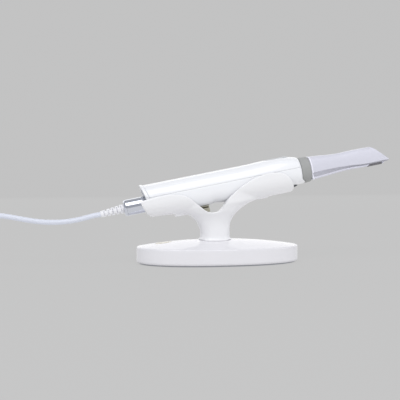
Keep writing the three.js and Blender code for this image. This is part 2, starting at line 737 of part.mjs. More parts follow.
// The base's outline with its domed top, lowered and drawn in by inset.
function domeLoft(lift, inset = 0) {
  const fillet = 1.6;
  const rim = BASE_RIM + lift;
  const round = [0, 0.4, 0.75].map((t) => {
    const angle = (t * Math.PI) / 2;
    return baseOutline(rim - fillet * (1 - Math.sin(angle)), inset + fillet * (1 - Math.cos(angle)));
  });
  const dome = [1, 0.85, 0.7, 0.5, 0.3, 0.1].map((share) =>
    flatSection(rim + (BASE_CROWN - BASE_RIM) * (1 - share ** 2), {
      x: 0, halfX: (BASE_LENGTH / 2 - inset - fillet) * share,
      halfY: (BASE_DEPTH / 2 - inset - fillet) * share, power: BASE_POWER,
    }, 36));
  return loft([baseOutline(PAD_HEIGHT + GAP, inset + 0.8), baseOutline(PAD_HEIGHT + 1.4, inset),
    ...round, ...dome]);
}

function baseShell() {
  const inside = common(domeLoft(-BASE_WALL, BASE_WALL), block([-90, -50, 5], [90, 50, 40]));
  const posts = BASE_SCREWS.map(([x, y]) => rod('z', 3.6, 8.9, 18.3, [x, y], 16));
  return cut(
    join(cut(domeLoft(0), inside, loft([baseOutline(0, BASE_WALL), baseOutline(6, BASE_WALL)])),
      ...posts),
    ...BASE_SCREWS.map(([x, y]) => rod('z', 1.5, 8, 14.6, [x, y], 12)),
    ...NECK_SCREWS.map((x) => rod('z', 2.3, 10, 30, [x, 0], 16)),
    badgeBlock(0.4, 10),
  );
}

function baseBallast() {
  const slab = loft([baseOutline(3.8, 5), baseOutline(8.6, 5)]);
  return cut(
    slab,
    ...BASE_SCREWS.map(([x, y]) => rod('z', 2, 0, 20, [x, y], 12)),
    ...NECK_SCREWS.map((x) => rod('z', 4.4, 0, 20, [x, 0], 16)),
  );
}

function basePlate() {
  const slab = loft([baseOutline(PAD_HEIGHT + GAP, 3.2), baseOutline(3.5, 3.2)]);
  return cut(
    slab,
    ...BASE_SCREWS.map(([x, y]) => rod('z', 2, 0, 20, [x, y], 12)),
    ...NECK_SCREWS.map((x) => rod('z', 4.4, 0, 20, [x, 0], 16)),
  );
}

function antiSlipPad() {
  return loft([baseOutline(0, 2.2), baseOutline(PAD_HEIGHT, 2.2)]);
}

function baseScrew([x, y]) {
  const low = PAD_HEIGHT + GAP;
  const profile = [[low, 0], [low, 1.1], [14.2, 1.1], [14.2, 0]];
  return turned(profile, 12).rotateY(-Math.PI / 2).translate(x, y, 0);
}

function neckScrew(x) {
  const under = BASE_CROWN - BASE_WALL - 2 * GAP;
  const profile = [[under - 3, 0], [under - 3, 3.6], [under, 3.6], [under, 1.6], [34.3, 1.6], [34.3, 0]];
  return turned(profile, 16).rotateY(-Math.PI / 2).translate(x, 0, 0);
}

// A small oval badge let into the dome near the base's left end.
function badgeBlock(grow, proud) {
  const prism = loft([8, 32].map((z) => flatSection(z, {
    x: 0, halfX: BADGE.halfX + grow, halfY: BADGE.halfY + grow, power: 2,
  }, 24)));
  const turnedPrism = prism.rotateZ(THREE.MathUtils.degToRad(BADGE.turn))
    .translate(BADGE.x, BADGE.y, 0);
  return cut(common(turnedPrism, domeLoft(proud)), domeLoft(-BADGE.depth - grow / 4));
}

// ---------------------------------------------------------------- data cable

const RELIEF_END = new THREE.Vector3(-RELIEF_LENGTH, 0, 0)
  .applyAxisAngle(new THREE.Vector3(0, 1, 0), -RELIEF_DROOP)
  .add(new THREE.Vector3(COLLAR_END, 0, COLLAR_AXIS))
  .applyAxisAngle(new THREE.Vector3(0, 1, 0), -TILT)
  .add(WAND_AT);

// From the strain relief the cable sags, rises again and comes down onto its coil.
const CABLE_ROUTE = [
  [RELIEF_END.x - GAP, RELIEF_END.z - 0.07], [-122.5, 47.7], [-132, 45.3], [-142, 43.2],
  [-153, 42], [-164.5, 41.8], [-176, 42.7], [-188, 44.6], [-200, 47], [-210, 48.6],
  [-218, 48.9], [-226, 46.7], [-233, 41.9], [-239, 35.4], [-244.5, 28.7], [-251, 22.9],
  [-259, 19.5], [-267, 18.8],
];

function cableRun() {
  const route = CABLE_ROUTE.map(([x, z]) => new THREE.Vector3(x, 0, z));
  return tube(new THREE.CatmullRomCurve3(route), CABLE_DIAMETER / 2, 20, 10);
}

function cableCoil() {
  const { inner, outer, floor, height } = COIL;
  const bend = 2.2;
  const high = floor + height;
  const profile = [
    [inner + bend, floor], [outer - bend, floor], [outer, floor + bend], [outer, high - bend],
    [outer - bend, high], [inner + bend, high], [inner, high - bend], [inner, floor + bend],
    [inner + bend, floor],
  ].map(([radius, z]) => new THREE.Vector2(radius, z));
  return new THREE.LatheGeometry(profile, 32).rotateX(Math.PI / 2).translate(COIL.x, COIL.y, 0);
}

// A strap over the coil at its far side.
function coilTie() {
  const { inner, outer, floor, height } = COIL;
  const thick = 0.8;
  const hole = inner - GAP - 0.5;
  const strap = cut(
    block([-4, hole - thick, 0.1], [4, outer + GAP + thick, floor + height + GAP + thick]),
    block([-9, hole, -5], [9, outer + GAP, floor + height + GAP]),
  );
  return strap.translate(COIL.x, COIL.y, 0);
}

function cableTail() {
  const path = new THREE.LineCurve3(
    new THREE.Vector3(COIL.x - 19.5, TAIL_Y, TAIL_Z), new THREE.Vector3(PLUG_AT + GAP, TAIL_Y, 4.3));
  return tube(path, CABLE_DIAMETER / 2, 4, 10);
}

function plugRelief() {
  const profile = [[PLUG_AT - 10, 0], [PLUG_AT - 10, 3.9], [PLUG_AT, 3.1], [PLUG_AT, 0]];
  return turned(profile, 20).translate(0, TAIL_Y, 4.4);
}

function plugBody() {
  const from = PLUG_AT - 10 - GAP;
  const shape = (grow) => ({ top: 8.6 + grow, floor: 0.2 - grow, half: 8 + grow, power: 4 });
  return loft([[from, -0.8], [from - 1, 0], [from - 20, 0], [from - 21, -0.8]].map(([x, grow]) =>
    ovalSection(x, shape(grow), 28))).translate(0, TAIL_Y, 0);
}

function plugShell() {
  const from = PLUG_AT - 31 - 2 * GAP;
  return cut(
    block([from - 12, TAIL_Y - 6, 2.15], [from, TAIL_Y + 6, 6.65]),
    block([from - 13, TAIL_Y - 5.6, 4.3], [from - 1, TAIL_Y + 5.6, 6.3]),
  );
}

// ---------------------------------------------------------------- assembly

const object = new THREE.Group();
const stand = new THREE.Group();
const wand = new THREE.Group();
const tip = new THREE.Group();
wand.position.copy(WAND_AT);
wand.rotation.y = -TILT;
wand.add(tip);
object.add(stand, wand);

function add(group, name, geometry, finish) {
  const mesh = new THREE.Mesh(geometry, finish);
  mesh.name = name;
  group.add(mesh);
}

add(stand, 'anti_slip_pad', antiSlipPad(), DARK_RUBBER);
add(stand, 'base_plate', basePlate(), STEEL);
add(stand, 'base_ballast', baseBallast(), CAST_IRON);
add(stand, 'base_shell', baseShell(), SATIN_WHITE);
add(stand, 'base_badge', badgeBlock(0, BADGE.proud), PEARL);
BASE_SCREWS.forEach((place, i) => add(stand, `base_screw_${i + 1}`, baseScrew(place), STEEL));
NECK_SCREWS.forEach((x, i) => add(stand, `neck_screw_${i + 1}`, neckScrew(x), STEEL));
add(stand, 'cradle', cradle(), SATIN_WHITE);

const pads = new THREE.Group();
pads.position.copy(WAND_AT);
pads.rotation.y = -TILT;
stand.add(pads);
add(pads, 'rear_cradle_pad', rearPad(), SILICONE);
add(pads, 'front_cradle_pad', padSolid(...PAD_SPANS[1], 0, PAD_HALF_WIDTH), SILICONE);

add(wand, 'upper_shell', upperShell(), GLOSS_WHITE);
add(wand, 'lower_shell', lowerShell(), GLOSS_WHITE);
SCREW_PLACES.forEach((place, i) => add(wand, `shell_screw_${i + 1}`, shellScrew(place), STEEL));
add(wand, 'rear_bezel', rearBezel(), GLOSS_WHITE);
add(wand, 'rear_cap', rearCap(), CAP_GREY);
add(wand, 'rear_collar', rearCollar(), CHROME);
add(wand, 'strain_relief', strainRelief(), CABLE_WHITE);
add(wand, 'cable_clamp', cableClamp(), BLACK);
add(wand, 'inner_harness', innerHarness(), BLACK);
add(wand, 'board_connector', boardConnector(), BLACK);
add(wand, 'heat_spreader', heatSpreader(), ALUMINIUM);
add(wand, 'main_board', mainBoard(), BOARD_GREEN);
add(wand, 'led_board', ledBoard(), BOARD_GREEN);
add(wand, 'projector_module', projectorModule(), BLACK);
add(wand, 'sensor_board', sensorBoard(), BOARD_GREEN);
add(wand, 'lens_barrel', lensBarrel(), BLACK);
add(wand, 'optical_nose', opticalNose(), BLACK);
add(wand, 'nose_window', noseWindow(), GLASS);
add(wand, 'seal_ring', sealRing(), SEAL_GREY);
add(wand, 'button_board', buttonBoard(), BOARD_GREEN);
add(wand, 'scan_switch', scanSwitch(), BLACK);
add(wand, 'scan_button', scanButton(), CAP_GREY);
add(wand, 'trigger_board', triggerBoard(), BOARD_GREEN);
add(wand, 'trigger_switch', triggerSwitch(), BLACK);
add(wand, 'trigger_button', triggerButton(), DARK_RUBBER);

add(tip, 'tip_sleeve', tipSleeve(), TIP_WHITE);
add(tip, 'tip_mirror', tipMirror(), MIRROR);

add(stand, 'cable_run', cableRun(), CABLE_WHITE);
add(stand, 'cable_coil', cableCoil(), CABLE_WHITE);
add(stand, 'coil_tie', coilTie(), BLACK);
add(stand, 'cable_tail', cableTail(), CABLE_WHITE);
add(stand, 'plug_relief', plugRelief(), CABLE_WHITE);
add(stand, 'plug_body', plugBody(), CABLE_WHITE);
add(stand, 'plug_shell', plugShell(), STEEL);

export default object;
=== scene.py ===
"""A corded intraoral scanner wand lying in its desk cradle.

Lengths in this file are millimetres until a mesh is made, which is in metres.
+X points towards the wand's mirror tip and +Z up. In the wand's own frame x runs along the wand,
z stands square to it, and the origin is the centre of the grey seal ring.
"""

import json
import math

import bmesh
import bpy
import numpy as np
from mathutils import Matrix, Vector


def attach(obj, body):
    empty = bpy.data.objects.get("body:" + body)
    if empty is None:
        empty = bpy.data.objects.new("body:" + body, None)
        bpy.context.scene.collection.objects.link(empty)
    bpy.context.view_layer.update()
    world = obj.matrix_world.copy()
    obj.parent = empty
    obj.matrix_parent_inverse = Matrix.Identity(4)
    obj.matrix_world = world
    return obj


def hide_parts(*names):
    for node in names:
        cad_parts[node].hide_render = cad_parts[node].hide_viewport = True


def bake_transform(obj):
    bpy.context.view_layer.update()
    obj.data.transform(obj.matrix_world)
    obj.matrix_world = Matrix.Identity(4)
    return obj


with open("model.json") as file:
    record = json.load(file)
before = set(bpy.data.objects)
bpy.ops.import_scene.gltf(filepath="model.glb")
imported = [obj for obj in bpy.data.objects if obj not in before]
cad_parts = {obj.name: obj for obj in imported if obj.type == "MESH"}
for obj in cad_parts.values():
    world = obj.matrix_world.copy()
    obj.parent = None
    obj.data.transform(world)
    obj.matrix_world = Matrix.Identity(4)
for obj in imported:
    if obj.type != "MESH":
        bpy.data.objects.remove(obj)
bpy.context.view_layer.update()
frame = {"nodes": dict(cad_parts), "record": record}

MM = 0.001
GAP = 0.3

# wand
TILT = math.radians(10.9)
WAND_AT = np.array([86.75, 0.0, 91.1])
BODY_REAR, BODY_FRONT, BODY_FLOOR = -158.5, -4.2, -15.6
BODY_POWER, BODY_TOP, BODY_HALF_WIDTH = 2.3, 16.5, 17.0
SEAM = 4.5
SHELL_WALL = 2.0
RAKE = 0.26
BEZEL_LENGTH, BEZEL_PROUD = 3.2, 0.9
RING_REAR, RING_FRONT, NOSE_END = -3.9, 5.8, 34.0
COLLAR_END, COLLAR_RADIUS, COLLAR_AXIS = -183.9, 8.0, -2.05
RELIEF_LENGTH, RELIEF_DROOP = 23.4, math.radians(2.8)
SCREW_PLACES = [(-140, 10.4), (-140, -10.4), (-54, 10.4), (-54, -10.4)]
SCAN_BUTTON = {"middle": -25.5, "length": 25.0, "width": 11.0}
TRIGGER = {"middle": -23.0, "length": 30.0, "width": 12.0, "floor": -15.3}

# tip
TIP_REAR, TIP_TOP_END, TIP_NOSE, TIP_HALF_WIDTH = 6.1, 72.6, 89.0, 8.8
TIP_BORE = {"half": 6.9, "floor": -6.6, "top": 7.4}
TIP_ROOT_END, KEEL_HEIGHT = 42.0, 2.2
WINDOW = {"rear": 65.0, "front": 81.4, "ceiling": -6.9}

# cradle and base
CUP_WALL, CUP_CLEARANCE, CUP_FLOOR = 3.3, 0.6, -18.8
CUP_REAR, CUP_FRONT, CUP_WAIST = -168.0, -14.4, 0.5
PAD_SPANS = [(-143.2, -101.7), (-81.2, -41.2)]
HEEL_LENGTH, HEEL_FLOOR, HEEL_TOP = 7.0, -21.2, -16.9
NEAR_DIP = [(-66.5, -1.4), (-75, -6), (-83.4, -12), (-90.2, -18.8), (-95.5, -22), (-99.5, -22.2),
            (-103.5, -21), (-107.5, -18.2)]
FAR_DIP = [(-66.5, -3), (-72, -8), (-77.5, -14), (-83.5, -21), (-90, -25.3), (-98, -26.4),
           (-103.5, -24.2), (-107.5, -19.6)]
PAD_HALF_WIDTH, PAD_THICKNESS = 9.0, 1.1
# raised ribs under the cups: two ends along the wand, and the floor
RIBS = [(-136.2, -123.2, -19.9), (-51.2, -41.2, -19.5)]
NECK_X = -3.0
BASE_LENGTH, BASE_DEPTH, BASE_POWER = 162.0, 78.0, 2.25
BASE_RIM, BASE_CROWN, BASE_FILLET = 16.8, 23.1, 1.6
FOOT_HEIGHT = 1.8
BADGE = {"x": -54.3, "y": 2.0, "half_x": 8.2, "half_y": 6.0, "turn": 12, "proud": 0.3}

# lead
CABLE_RADIUS = 2.5
COIL = {"x": -262.0, "y": 28.0, "radii": (23.0, 28.0, 33.0), "heights": (3.3, 8.4, 13.5)}
PLUG_AT, PLUG_Y, PLUG_Z = -293.0, -5.0, 4.4


# ---- camera


def add_camera():
    azimuth, elevation, distance = math.radians(-9), math.radians(3.5), 0.8
    target = Vector((-0.01695, 0.00644, 0.06159))
    back = Vector((
        math.sin(azimuth) * math.cos(elevation),
        -math.cos(azimuth) * math.cos(elevation),
        math.sin(elevation),
    ))
    data = bpy.data.cameras.new("camera")
    data.lens = 72
    data.sensor_width = 36
    data.clip_end = 20
    camera = bpy.data.objects.new("camera", data)
    bpy.context.scene.collection.objects.link(camera)
    camera.location = target + back * distance
    camera.rotation_mode = "QUATERNION"
    camera.rotation_quaternion = (-back).to_track_quat("-Z", "Y")
    bpy.context.scene.camera = camera


# ---- materials


def linear(value):
    value /= 255
    return value / 12.92 if value <= 0.04045 else ((value + 0.055) / 1.055) ** 2.4


def shade(red, green, blue):
    return (linear(red), linear(green), linear(blue), 1.0)


class Finish:
    """Builds one procedural material: mottled colour, uneven gloss and a fine grain."""

    def __init__(self, name, color, roughness, metallic=0.0):
        self.name = name
        self.material = bpy.data.materials.new(name)
        self.material.use_nodes = True
        self.tree = self.material.node_tree
        self.shader = self.tree.nodes["Principled BSDF"]
        self.shader.inputs["Metallic"].default_value = metallic
        self.color = color
        self.roughness = roughness
        self.place = self.tree.nodes.new("ShaderNodeTexCoord").outputs["Object"]
        self.height = None

    def noise(self, scale, detail=3.0, stretch=None):
        source = self.place
        if stretch:
            mapping = self.tree.nodes.new("ShaderNodeMapping")
            mapping.inputs["Scale"].default_value = stretch
            self.tree.links.new(source, mapping.inputs["Vector"])
            source = mapping.outputs["Vector"]
        noise = self.tree.nodes.new("ShaderNodeTexNoise")
        noise.inputs["Scale"].default_value = scale
        noise.inputs["Detail"].default_value = detail
        self.tree.links.new(source, noise.inputs["Vector"])
        return noise.outputs["Fac"]

    def ranged(self, value, low, high, from_low=0.35, from_high=0.65):
        node = self.tree.nodes.new("ShaderNodeMapRange")
        self.tree.links.new(value, node.inputs["Value"])
        node.inputs["From Min"].default_value = from_low
        node.inputs["From Max"].default_value = from_high
        node.inputs["To Min"].default_value = low
        node.inputs["To Max"].default_value = high
        return node.outputs["Result"]

    def mix(self, factor, first, second):
        node = self.tree.nodes.new("ShaderNodeMix")
        node.data_type = "RGBA"
        self.tree.links.new(factor, node.inputs["Factor"])
        for socket, value in (("A", first), ("B", second)):
            target = [i for i in node.inputs if i.name == socket and i.type == "RGBA"][0]
            if isinstance(value, tuple):
                target.default_value = value
            else:
                self.tree.links.new(value, target)
        return [o for o in node.outputs if o.type == "RGBA"][0]

    def mottled(self, scale=35, spread=0.03, tint=(1.0, 1.0, 1.0)):
        darker = tuple(c * (1 - spread) * t for c, t in zip(self.color, tint)) + (1.0,)
        factor = self.ranged(self.noise(scale), 0, 1)
        color = self.mix(factor, self.color, darker)
        self.tree.links.new(color, self.shader.inputs["Base Color"])
        self.base = color
        return self

    def uneven(self, scale=60, spread=0.05, stretch=None):
        value = self.ranged(
            self.noise(scale, 4, stretch), self.roughness - spread, self.roughness + spread
        )
        self.tree.links.new(value, self.shader.inputs["Roughness"])
        return self

    def painted_light_mark(self, mark, color):
        """Paints light and shade: blends in a colour, darker for painted shade and lighter for a
        painted highlight, where the mesh carries a mark.
        """
        attribute = self.tree.nodes.new("ShaderNodeAttribute")
        attribute.attribute_name = mark
        blended = self.mix(attribute.outputs["Fac"], self.base, color)
        self.tree.links.new(blended, self.shader.inputs["Base Color"])
        self.base = blended
        return self

    def grained(self, scale=2200, depth=0.00002, stretch=None, detail=2.0):
        bump = self.tree.nodes.new("ShaderNodeBump")
        bump.inputs["Strength"].default_value = 0.6
        bump.inputs["Distance"].default_value = depth
        self.tree.links.new(self.noise(scale, detail, stretch), bump.inputs["Height"])
        if self.height:
            self.tree.links.new(self.height, bump.inputs["Normal"])
        self.height = bump.outputs["Normal"]
        self.tree.links.new(self.height, self.shader.inputs["Normal"])
        return self

    def with_values(self, **values):
        for name, value in values.items():
            self.shader.inputs[name.replace("_", " ")].default_value = value
        return self


def make_finishes():
    built = (
        Finish("gloss_white", shade(241, 242, 245), 0.2)
        .mottled(30, 0.015).uneven(70, 0.04).grained(1500, 0.000004)
        .with_values(Coat_Weight=0.25, Coat_Roughness=0.08),
        Finish("satin_white", shade(238, 238, 240), 0.3)
        .mottled(18, 0.008).uneven(40, 0.02).grained(1800, 0.000004),
        Finish("base_white", shade(228, 227, 231), 0.08)
        .mottled(26, 0.02).uneven(50, 0.015),
        Finish("tip_white", shade(212, 212, 223), 0.34)
        # painted shade: a darker tone along the groove under the tip's sides
        .mottled(40, 0.02).painted_light_mark("groove", shade(178, 178, 187))
        # painted highlight: a lighter tone on the tip's rear rim next to the seal ring
        .painted_light_mark("rim", shade(240, 240, 250)).uneven(80, 0.05).grained(2400, 0.000008),
        Finish("seal_grey", shade(161, 162, 161), 0.6)
        .mottled(120, 0.05).uneven(150, 0.07).grained(2600, 0.00003),
        Finish("cap_grey", shade(188, 191, 194), 0.42)
        .mottled(90, 0.04).uneven(120, 0.06).grained(2200, 0.00002),
        Finish("chrome", shade(214, 217, 226), 0.1, 1.0)
        .mottled(60, 0.02).uneven(220, 0.008, (0.15, 1, 1)),
        Finish("aluminium", shade(190, 192, 196), 0.4, 1.0)
        .mottled(80, 0.05).uneven(200, 0.08).grained(1400, 0.00002),
        Finish("steel", shade(182, 184, 188), 0.3, 1.0)
        .mottled(120, 0.06).uneven(240, 0.08, (0.2, 1, 1)).grained(1800, 0.000006, (0.2, 1, 1)),
        Finish("cast_iron", shade(70, 72, 75), 0.7, 0.8)
        .mottled(90, 0.2).uneven(160, 0.1).grained(700, 0.0002),
        Finish("board_green", shade(24, 92, 58), 0.45)
        .mottled(260, 0.15).uneven(300, 0.08).grained(1800, 0.00002),
        Finish("black_plastic", shade(36, 38, 41), 0.5)
        .mottled(140, 0.12).uneven(180, 0.08).grained(2400, 0.00003),
        Finish("glass", shade(238, 244, 248), 0.04)
        .mottled(60, 0.02).uneven(120, 0.02).with_values(Transmission_Weight=0.9, IOR=1.5),
        Finish("mirror", shade(232, 236, 238), 0.03, 1.0)
        .mottled(80, 0.02).uneven(160, 0.015),
        Finish("dark_rubber", shade(84, 87, 90), 0.62)
        .mottled(160, 0.12).uneven(200, 0.08).grained(2600, 0.00004),
        Finish("silicone", shade(176, 173, 156), 0.55)
        .mottled(140, 0.06).uneven(160, 0.08).grained(2400, 0.00003),
        Finish("cable_white", shade(216, 220, 232), 0.38)
        .mottled(22, 0.012).uneven(50, 0.03).grained(2600, 0.000006),
        Finish("foot_grey", shade(172, 174, 182), 0.6)
        .mottled(160, 0.08).uneven(200, 0.08).grained(2600, 0.00004),
        Finish("window_grey", shade(118, 116, 120), 0.45)
        .mottled(160, 0.1).uneven(180, 0.08).grained(2400, 0.00002),
        Finish("relief_white", shade(236, 236, 240), 0.4)
        .mottled(90, 0.03).uneven(140, 0.06).grained(2400, 0.00001),
        Finish("pearl", shade(222, 216, 200), 0.22)
        .mottled(260, 0.16, (1.0, 0.98, 0.94)).uneven(300, 0.06)
        .with_values(Coat_Weight=0.6, Coat_Roughness=0.05),
    )
    return {finish.name: finish for finish in built}


# ---- mesh helpers


def in_wand(points):
    """Takes points from the wand's frame to the row's."""
    points = np.asarray(points, float)
    x = points[..., 0] * math.cos(TILT) - points[..., 2] * math.sin(TILT)
    z = points[..., 0] * math.sin(TILT) + points[..., 2] * math.cos(TILT)
    return np.stack([x + WAND_AT[0], points[..., 1], z + WAND_AT[2]], -1)


def mesh_object(name, points, faces, in_frame="row"):
    """A mesh from points in millimetres, with its normals turned outwards."""
    points = np.asarray(points, float).reshape(-1, 3)
    if in_frame == "wand":
        points = in_wand(points)
    mesh = bpy.data.meshes.new(name)
    mesh.from_pydata((points * MM).tolist(), [], [list(f) for f in faces])
    work = bmesh.new()
    work.from_mesh(mesh)
    bmesh.ops.recalc_face_normals(work, faces=work.faces)
    work.to_mesh(mesh)
    work.free()
    piece = bpy.data.objects.new(name, mesh)
    bpy.context.scene.collection.objects.link(piece)
    return piece


def ring_faces(rings, around):
    faces = []
    for s in range(rings - 1):
        for i in range(around):
            a, b = s * around + i, s * around + (i + 1) % around
            faces.append((a, b, b + around, a + around))
    return faces


def loft(name, sections, in_frame="wand", caps="flat"):
    """Skins a row of closed sections.

    A strip cap joins a section's first half to its second, and a hoop's last section meets its
    first.
    """
    sections = np.asarray(sections, float)
    count, around = sections.shape[:2]
    faces = ring_faces(count, around)
    for start in (0, (count - 1) * around):
        if caps == "flat":
            faces.append(tuple(start + i for i in range(around)))
        elif caps == "strip":
            for i in range(around // 2 - 1):
                j = around - 1 - i
                faces.append((start + i, start + i + 1, start + j - 1, start + j))
    if caps == "hoop":
        last = (count - 1) * around
        faces += [(last + i, last + (i + 1) % around, (i + 1) % around, i) for i in range(around)]
    return mesh_object(name, sections, faces, in_frame)


def settle(piece, *modifiers):
    """Adds modifiers, given as (type, settings), and turns their result into the piece's mesh."""
    for kind, settings in modifiers:
        modifier = piece.modifiers.new(kind.lower(), kind)
        for key, value in settings.items():
            setattr(modifier, key, value)
    graph = bpy.context.evaluated_depsgraph_get()
    mesh = bpy.data.meshes.new_from_object(piece.evaluated_get(graph))
    piece.modifiers.clear()
    piece.data = mesh
    return piece


def boolean(piece, operation, *others):
    for other in others:
        settle(piece, ("BOOLEAN", {"operation": operation, "object": other, "solver": "MANIFOLD"}))
        bpy.data.objects.remove(other)
    return piece


def remeshed(piece, voxel, smoothing):
    return settle(
        piece,
        ("REMESH", {"mode": "VOXEL", "voxel_size": voxel * MM}),
        ("SMOOTH", {"factor": 0.5, "iterations": smoothing}),
    )


def joined(first, *others):
    """One object from several, which may lie apart."""
    work = bmesh.new()
    for piece in (first, *others):
        work.from_mesh(piece.data)
    work.to_mesh(first.data)
    work.free()
    for piece in others:
        bpy.data.objects.remove(piece)
    return first


def finished(piece, body, slot, *nodes, sharp=40):
    """Smooths, paints and mounts a piece, and lets it stand for its CAD nodes."""
    for polygon in piece.data.polygons:
        polygon.use_smooth = True
    piece.data.set_sharp_from_angle(angle=math.radians(sharp))
    piece.data.materials.clear()
    piece.data.materials.append(finishes[slot].material)
    if body:
        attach(piece, body)
    if nodes:
        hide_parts(*nodes)
    return piece


def ease(x, start, end):
    t = np.clip((np.asarray(x, float) - start) / (end - start), 0, 1)
    return t * t * (3 - 2 * t)


def signed_power(value, power):
    return np.sign(value) * np.abs(value) ** power


def turn_angles(count, start=0.5):
    return (np.arange(count) + start) * 2 * math.pi / count


def round_ring(x, y, z, radius, angles):
    """A circle standing across x."""
    return np.stack([np.full(len(angles), float(x)), y + radius * np.cos(angles),
                     z + radius * np.sin(angles)], -1)


def oval(x, top, floor, half, power, count=96):
    angles = turn_angles(count)
    y = half * signed_power(np.cos(angles), 2 / power)
    z = (top + floor) / 2 + (top - floor) / 2 * signed_power(np.sin(angles), 2 / power)
    return np.stack([np.full(count, float(x)), y, z], -1)


def flat_oval(z, x, y, half_x, half_y, power, count=128):
    angles = turn_angles(count)
    return np.stack([
        x + half_x * signed_power(np.cos(angles), 2 / power),
        y + half_y * signed_power(np.sin(angles), 2 / power),
        np.full(count, float(z)),
    ], -1)


def cylinder(name, x, y, low, high, radius, in_frame="wand"):
    return loft(name, [flat_oval(z, x, y, radius, radius, 2, 40) for z in (low, high)], in_frame)


def side_slab(name, outline, span):
    """A flat outline of (x, z) points, carried along y from one end of span to the other."""
    outline = np.asarray(outline, float)
    sections = [np.insert(outline, 1, y, axis=1) for y in span]
    return loft(name, sections)


def smooth_line(points, per_span=10):
    """A Catmull-Rom line through points."""
    points = np.asarray(points, float)
    padded = np.vstack([2 * points[0] - points[1], points, 2 * points[-1] - points[-2]])
    line = []
    for i in range(len(points) - 1):
        a, b, c, d = padded[i:i + 4]
        for t in np.linspace(0, 1, per_span, endpoint=False):
            line.append(0.5 * (2 * b + (c - a) * t + (2 * a - 5 * b + 4 * c - d) * t**2
                               + (3 * b - a - 3 * c + d) * t**3))
    return np.array([*line, points[-1]])


# ---- wand body


def tail_rise(x):
    """How much higher the body's floor is towards its rear end."""
    return 2.3 * max(0.0, -122 - x) / 33


def body_section(x, grow=0.0):
    """Top, floor and half width of the body at x."""
    front = max(0.0, x + 27)
    scallop = 1.2 * math.exp(-(((x + 95) / 6) ** 2))
    top = BODY_TOP + 0.8 * ease(x, -62, -30) - 3.7 * (front / 24) ** 2 + grow
    floor = BODY_FLOOR + 2.6 * ease(x, -46, -12) + scallop + tail_rise(x) - grow
    half = BODY_HALF_WIDTH - 3.3 * (max(0.0, x + 30) / 27) ** 2 + grow
    return float(top), float(floor), half


def side_y(section, z):
    top, floor, half = section
    share = np.abs((z - (top + floor) / 2) / ((top - floor) / 2))
    return half * (1 - np.minimum(share, 1) ** BODY_POWER) ** (1 / BODY_POWER)


def surface_z(x, y, up, grow=0.0):
    """Height of the body's upper or lower surface at (x, y)."""
    top, floor, half = body_section(x, grow)
    rise = (1 - min(abs(y) / half, 1) ** BODY_POWER) ** (1 / BODY_POWER)
    return (top + floor) / 2 + (1 if up else -1) * (top - floor) / 2 * rise


# distance from the half shell's nominal edge, and how far the lip has turned inwards there
LIP = [(-0.1, -0.5), (-0.07, -0.3), (0.0, -0.14), (0.2, -0.05), (0.7, 0.0)]


def half_arc(x, grow, up, lip):
    """Half of the body's outline, from lip to lip over the top or under the floor."""
    side = 1 if up else -1
    seam = SEAM + side * GAP / 2
    rounded = [(seam + side * h, side_y(body_section(x, grow + inward), seam + side * h))
               for h, inward in lip]
    section = body_section(x, grow)
    middle, rise = (section[0] + section[1]) / 2, (section[0] - section[1]) / 2
    start_z = rounded[-1][0]
    share = (start_z - middle) / rise
    start = math.asin(math.copysign(abs(share) ** (BODY_POWER / 2), share))
    stop = math.pi - start if up else -math.pi - start
    arc = []
    for angle in np.linspace(start, stop, 90)[1:-1]:
        arc.append((middle + rise * signed_power(math.sin(angle), 2 / BODY_POWER),
                    section[2] * signed_power(math.cos(angle), 2 / BODY_POWER)))
    points = rounded + arc + [(z, -y) for z, y in reversed(rounded)]
    return np.array([(x, y, z) for z, y in points])


def shell(name, up):
    """One half of the body's shell, with rounded edges all round."""
    rear_rim = [(0.0, -0.7), (0.1, -0.4), (0.3, -0.15), (0.7, 0.0)]
    front_rim = [(0.0, -1.1), (0.25, -0.65), (0.8, -0.27), (1.7, -0.06), (2.6, 0.0)]
    stations = (
        [(BODY_REAR + d, grow) for d, grow in rear_rim]
        + [(x, 0.0) for x in np.linspace(BODY_REAR + 1.5, BODY_FRONT - 3.5, 110)]
        + [(BODY_FRONT - d, grow) for d, grow in reversed(front_rim)]
    )
    flat_lip = [(h, 0.0) for h, _ in LIP]
    sections = []
    for x, grow in stations:
        outer = half_arc(x, grow, up, LIP)
        inner = half_arc(x, -SHELL_WALL, up, flat_lip)
        ring = np.vstack([outer, inner[::-1]])
        lean = RAKE * (1 - ease(x, BODY_REAR, BODY_REAR + 40))
        ring[:, 0] -= lean * (ring[:, 2] - SEAM)
        ring[:, 0] += 3.2 * ease(-ring[:, 2], 7, 11.5) * ease(x, -14, BODY_FRONT)
        sections.append(ring)
    return loft(name, sections, caps="strip")


def stadium(place, grow, share, count=96):
    """Points of a round-ended oblong in x and y, drawn in towards its middle line by share."""
    radius = place["width"] / 2 + grow
    reach = place["length"] / 2 - place["width"] / 2
    points = []
    for angle in turn_angles(count):
        centre = reach * share * signed_power(math.cos(angle), 0.35)
        points.append((place["middle"] + centre + radius * share * math.cos(angle),
                       radius * share * math.sin(angle)))
    return np.array(points)


def stadium_prism(name, place, grow, low, high):
    outline = stadium(place, grow, 1.0)
    return loft(name, [np.column_stack([outline, np.full(len(outline), z)]) for z in (low, high)])


def build_shells():
    upper = boolean(
        shell("upper_case", True),
        "DIFFERENCE",
        stadium_prism("cutter", SCAN_BUTTON, GAP, 6, 30),
    )
    finished(upper, "handpiece", "gloss_white", "upper_shell")
    lower = boolean(
        shell("lower_case", False),
        "DIFFERENCE",
        stadium_prism("cutter", TRIGGER, GAP, -30, -5),
        *[cylinder("cutter", x, y, -20, -7.9, 2.5) for x, y in SCREW_PLACES],
    )
    sockets = []
    for x, y in SCREW_PLACES:
        rim = surface_z(x, y, False) + 0.8
        rings = [flat_oval(z, x, y, r, r, 2, 40)
                 for z, r in ((rim, 2.5), (-7.8, 2.5), (-7.8, 3.2), (rim, 3.2))]
        sockets.append(loft("socket", rings, caps="hoop"))
    finished(joined(lower, *sockets), "handpiece", "gloss_white", "lower_shell")


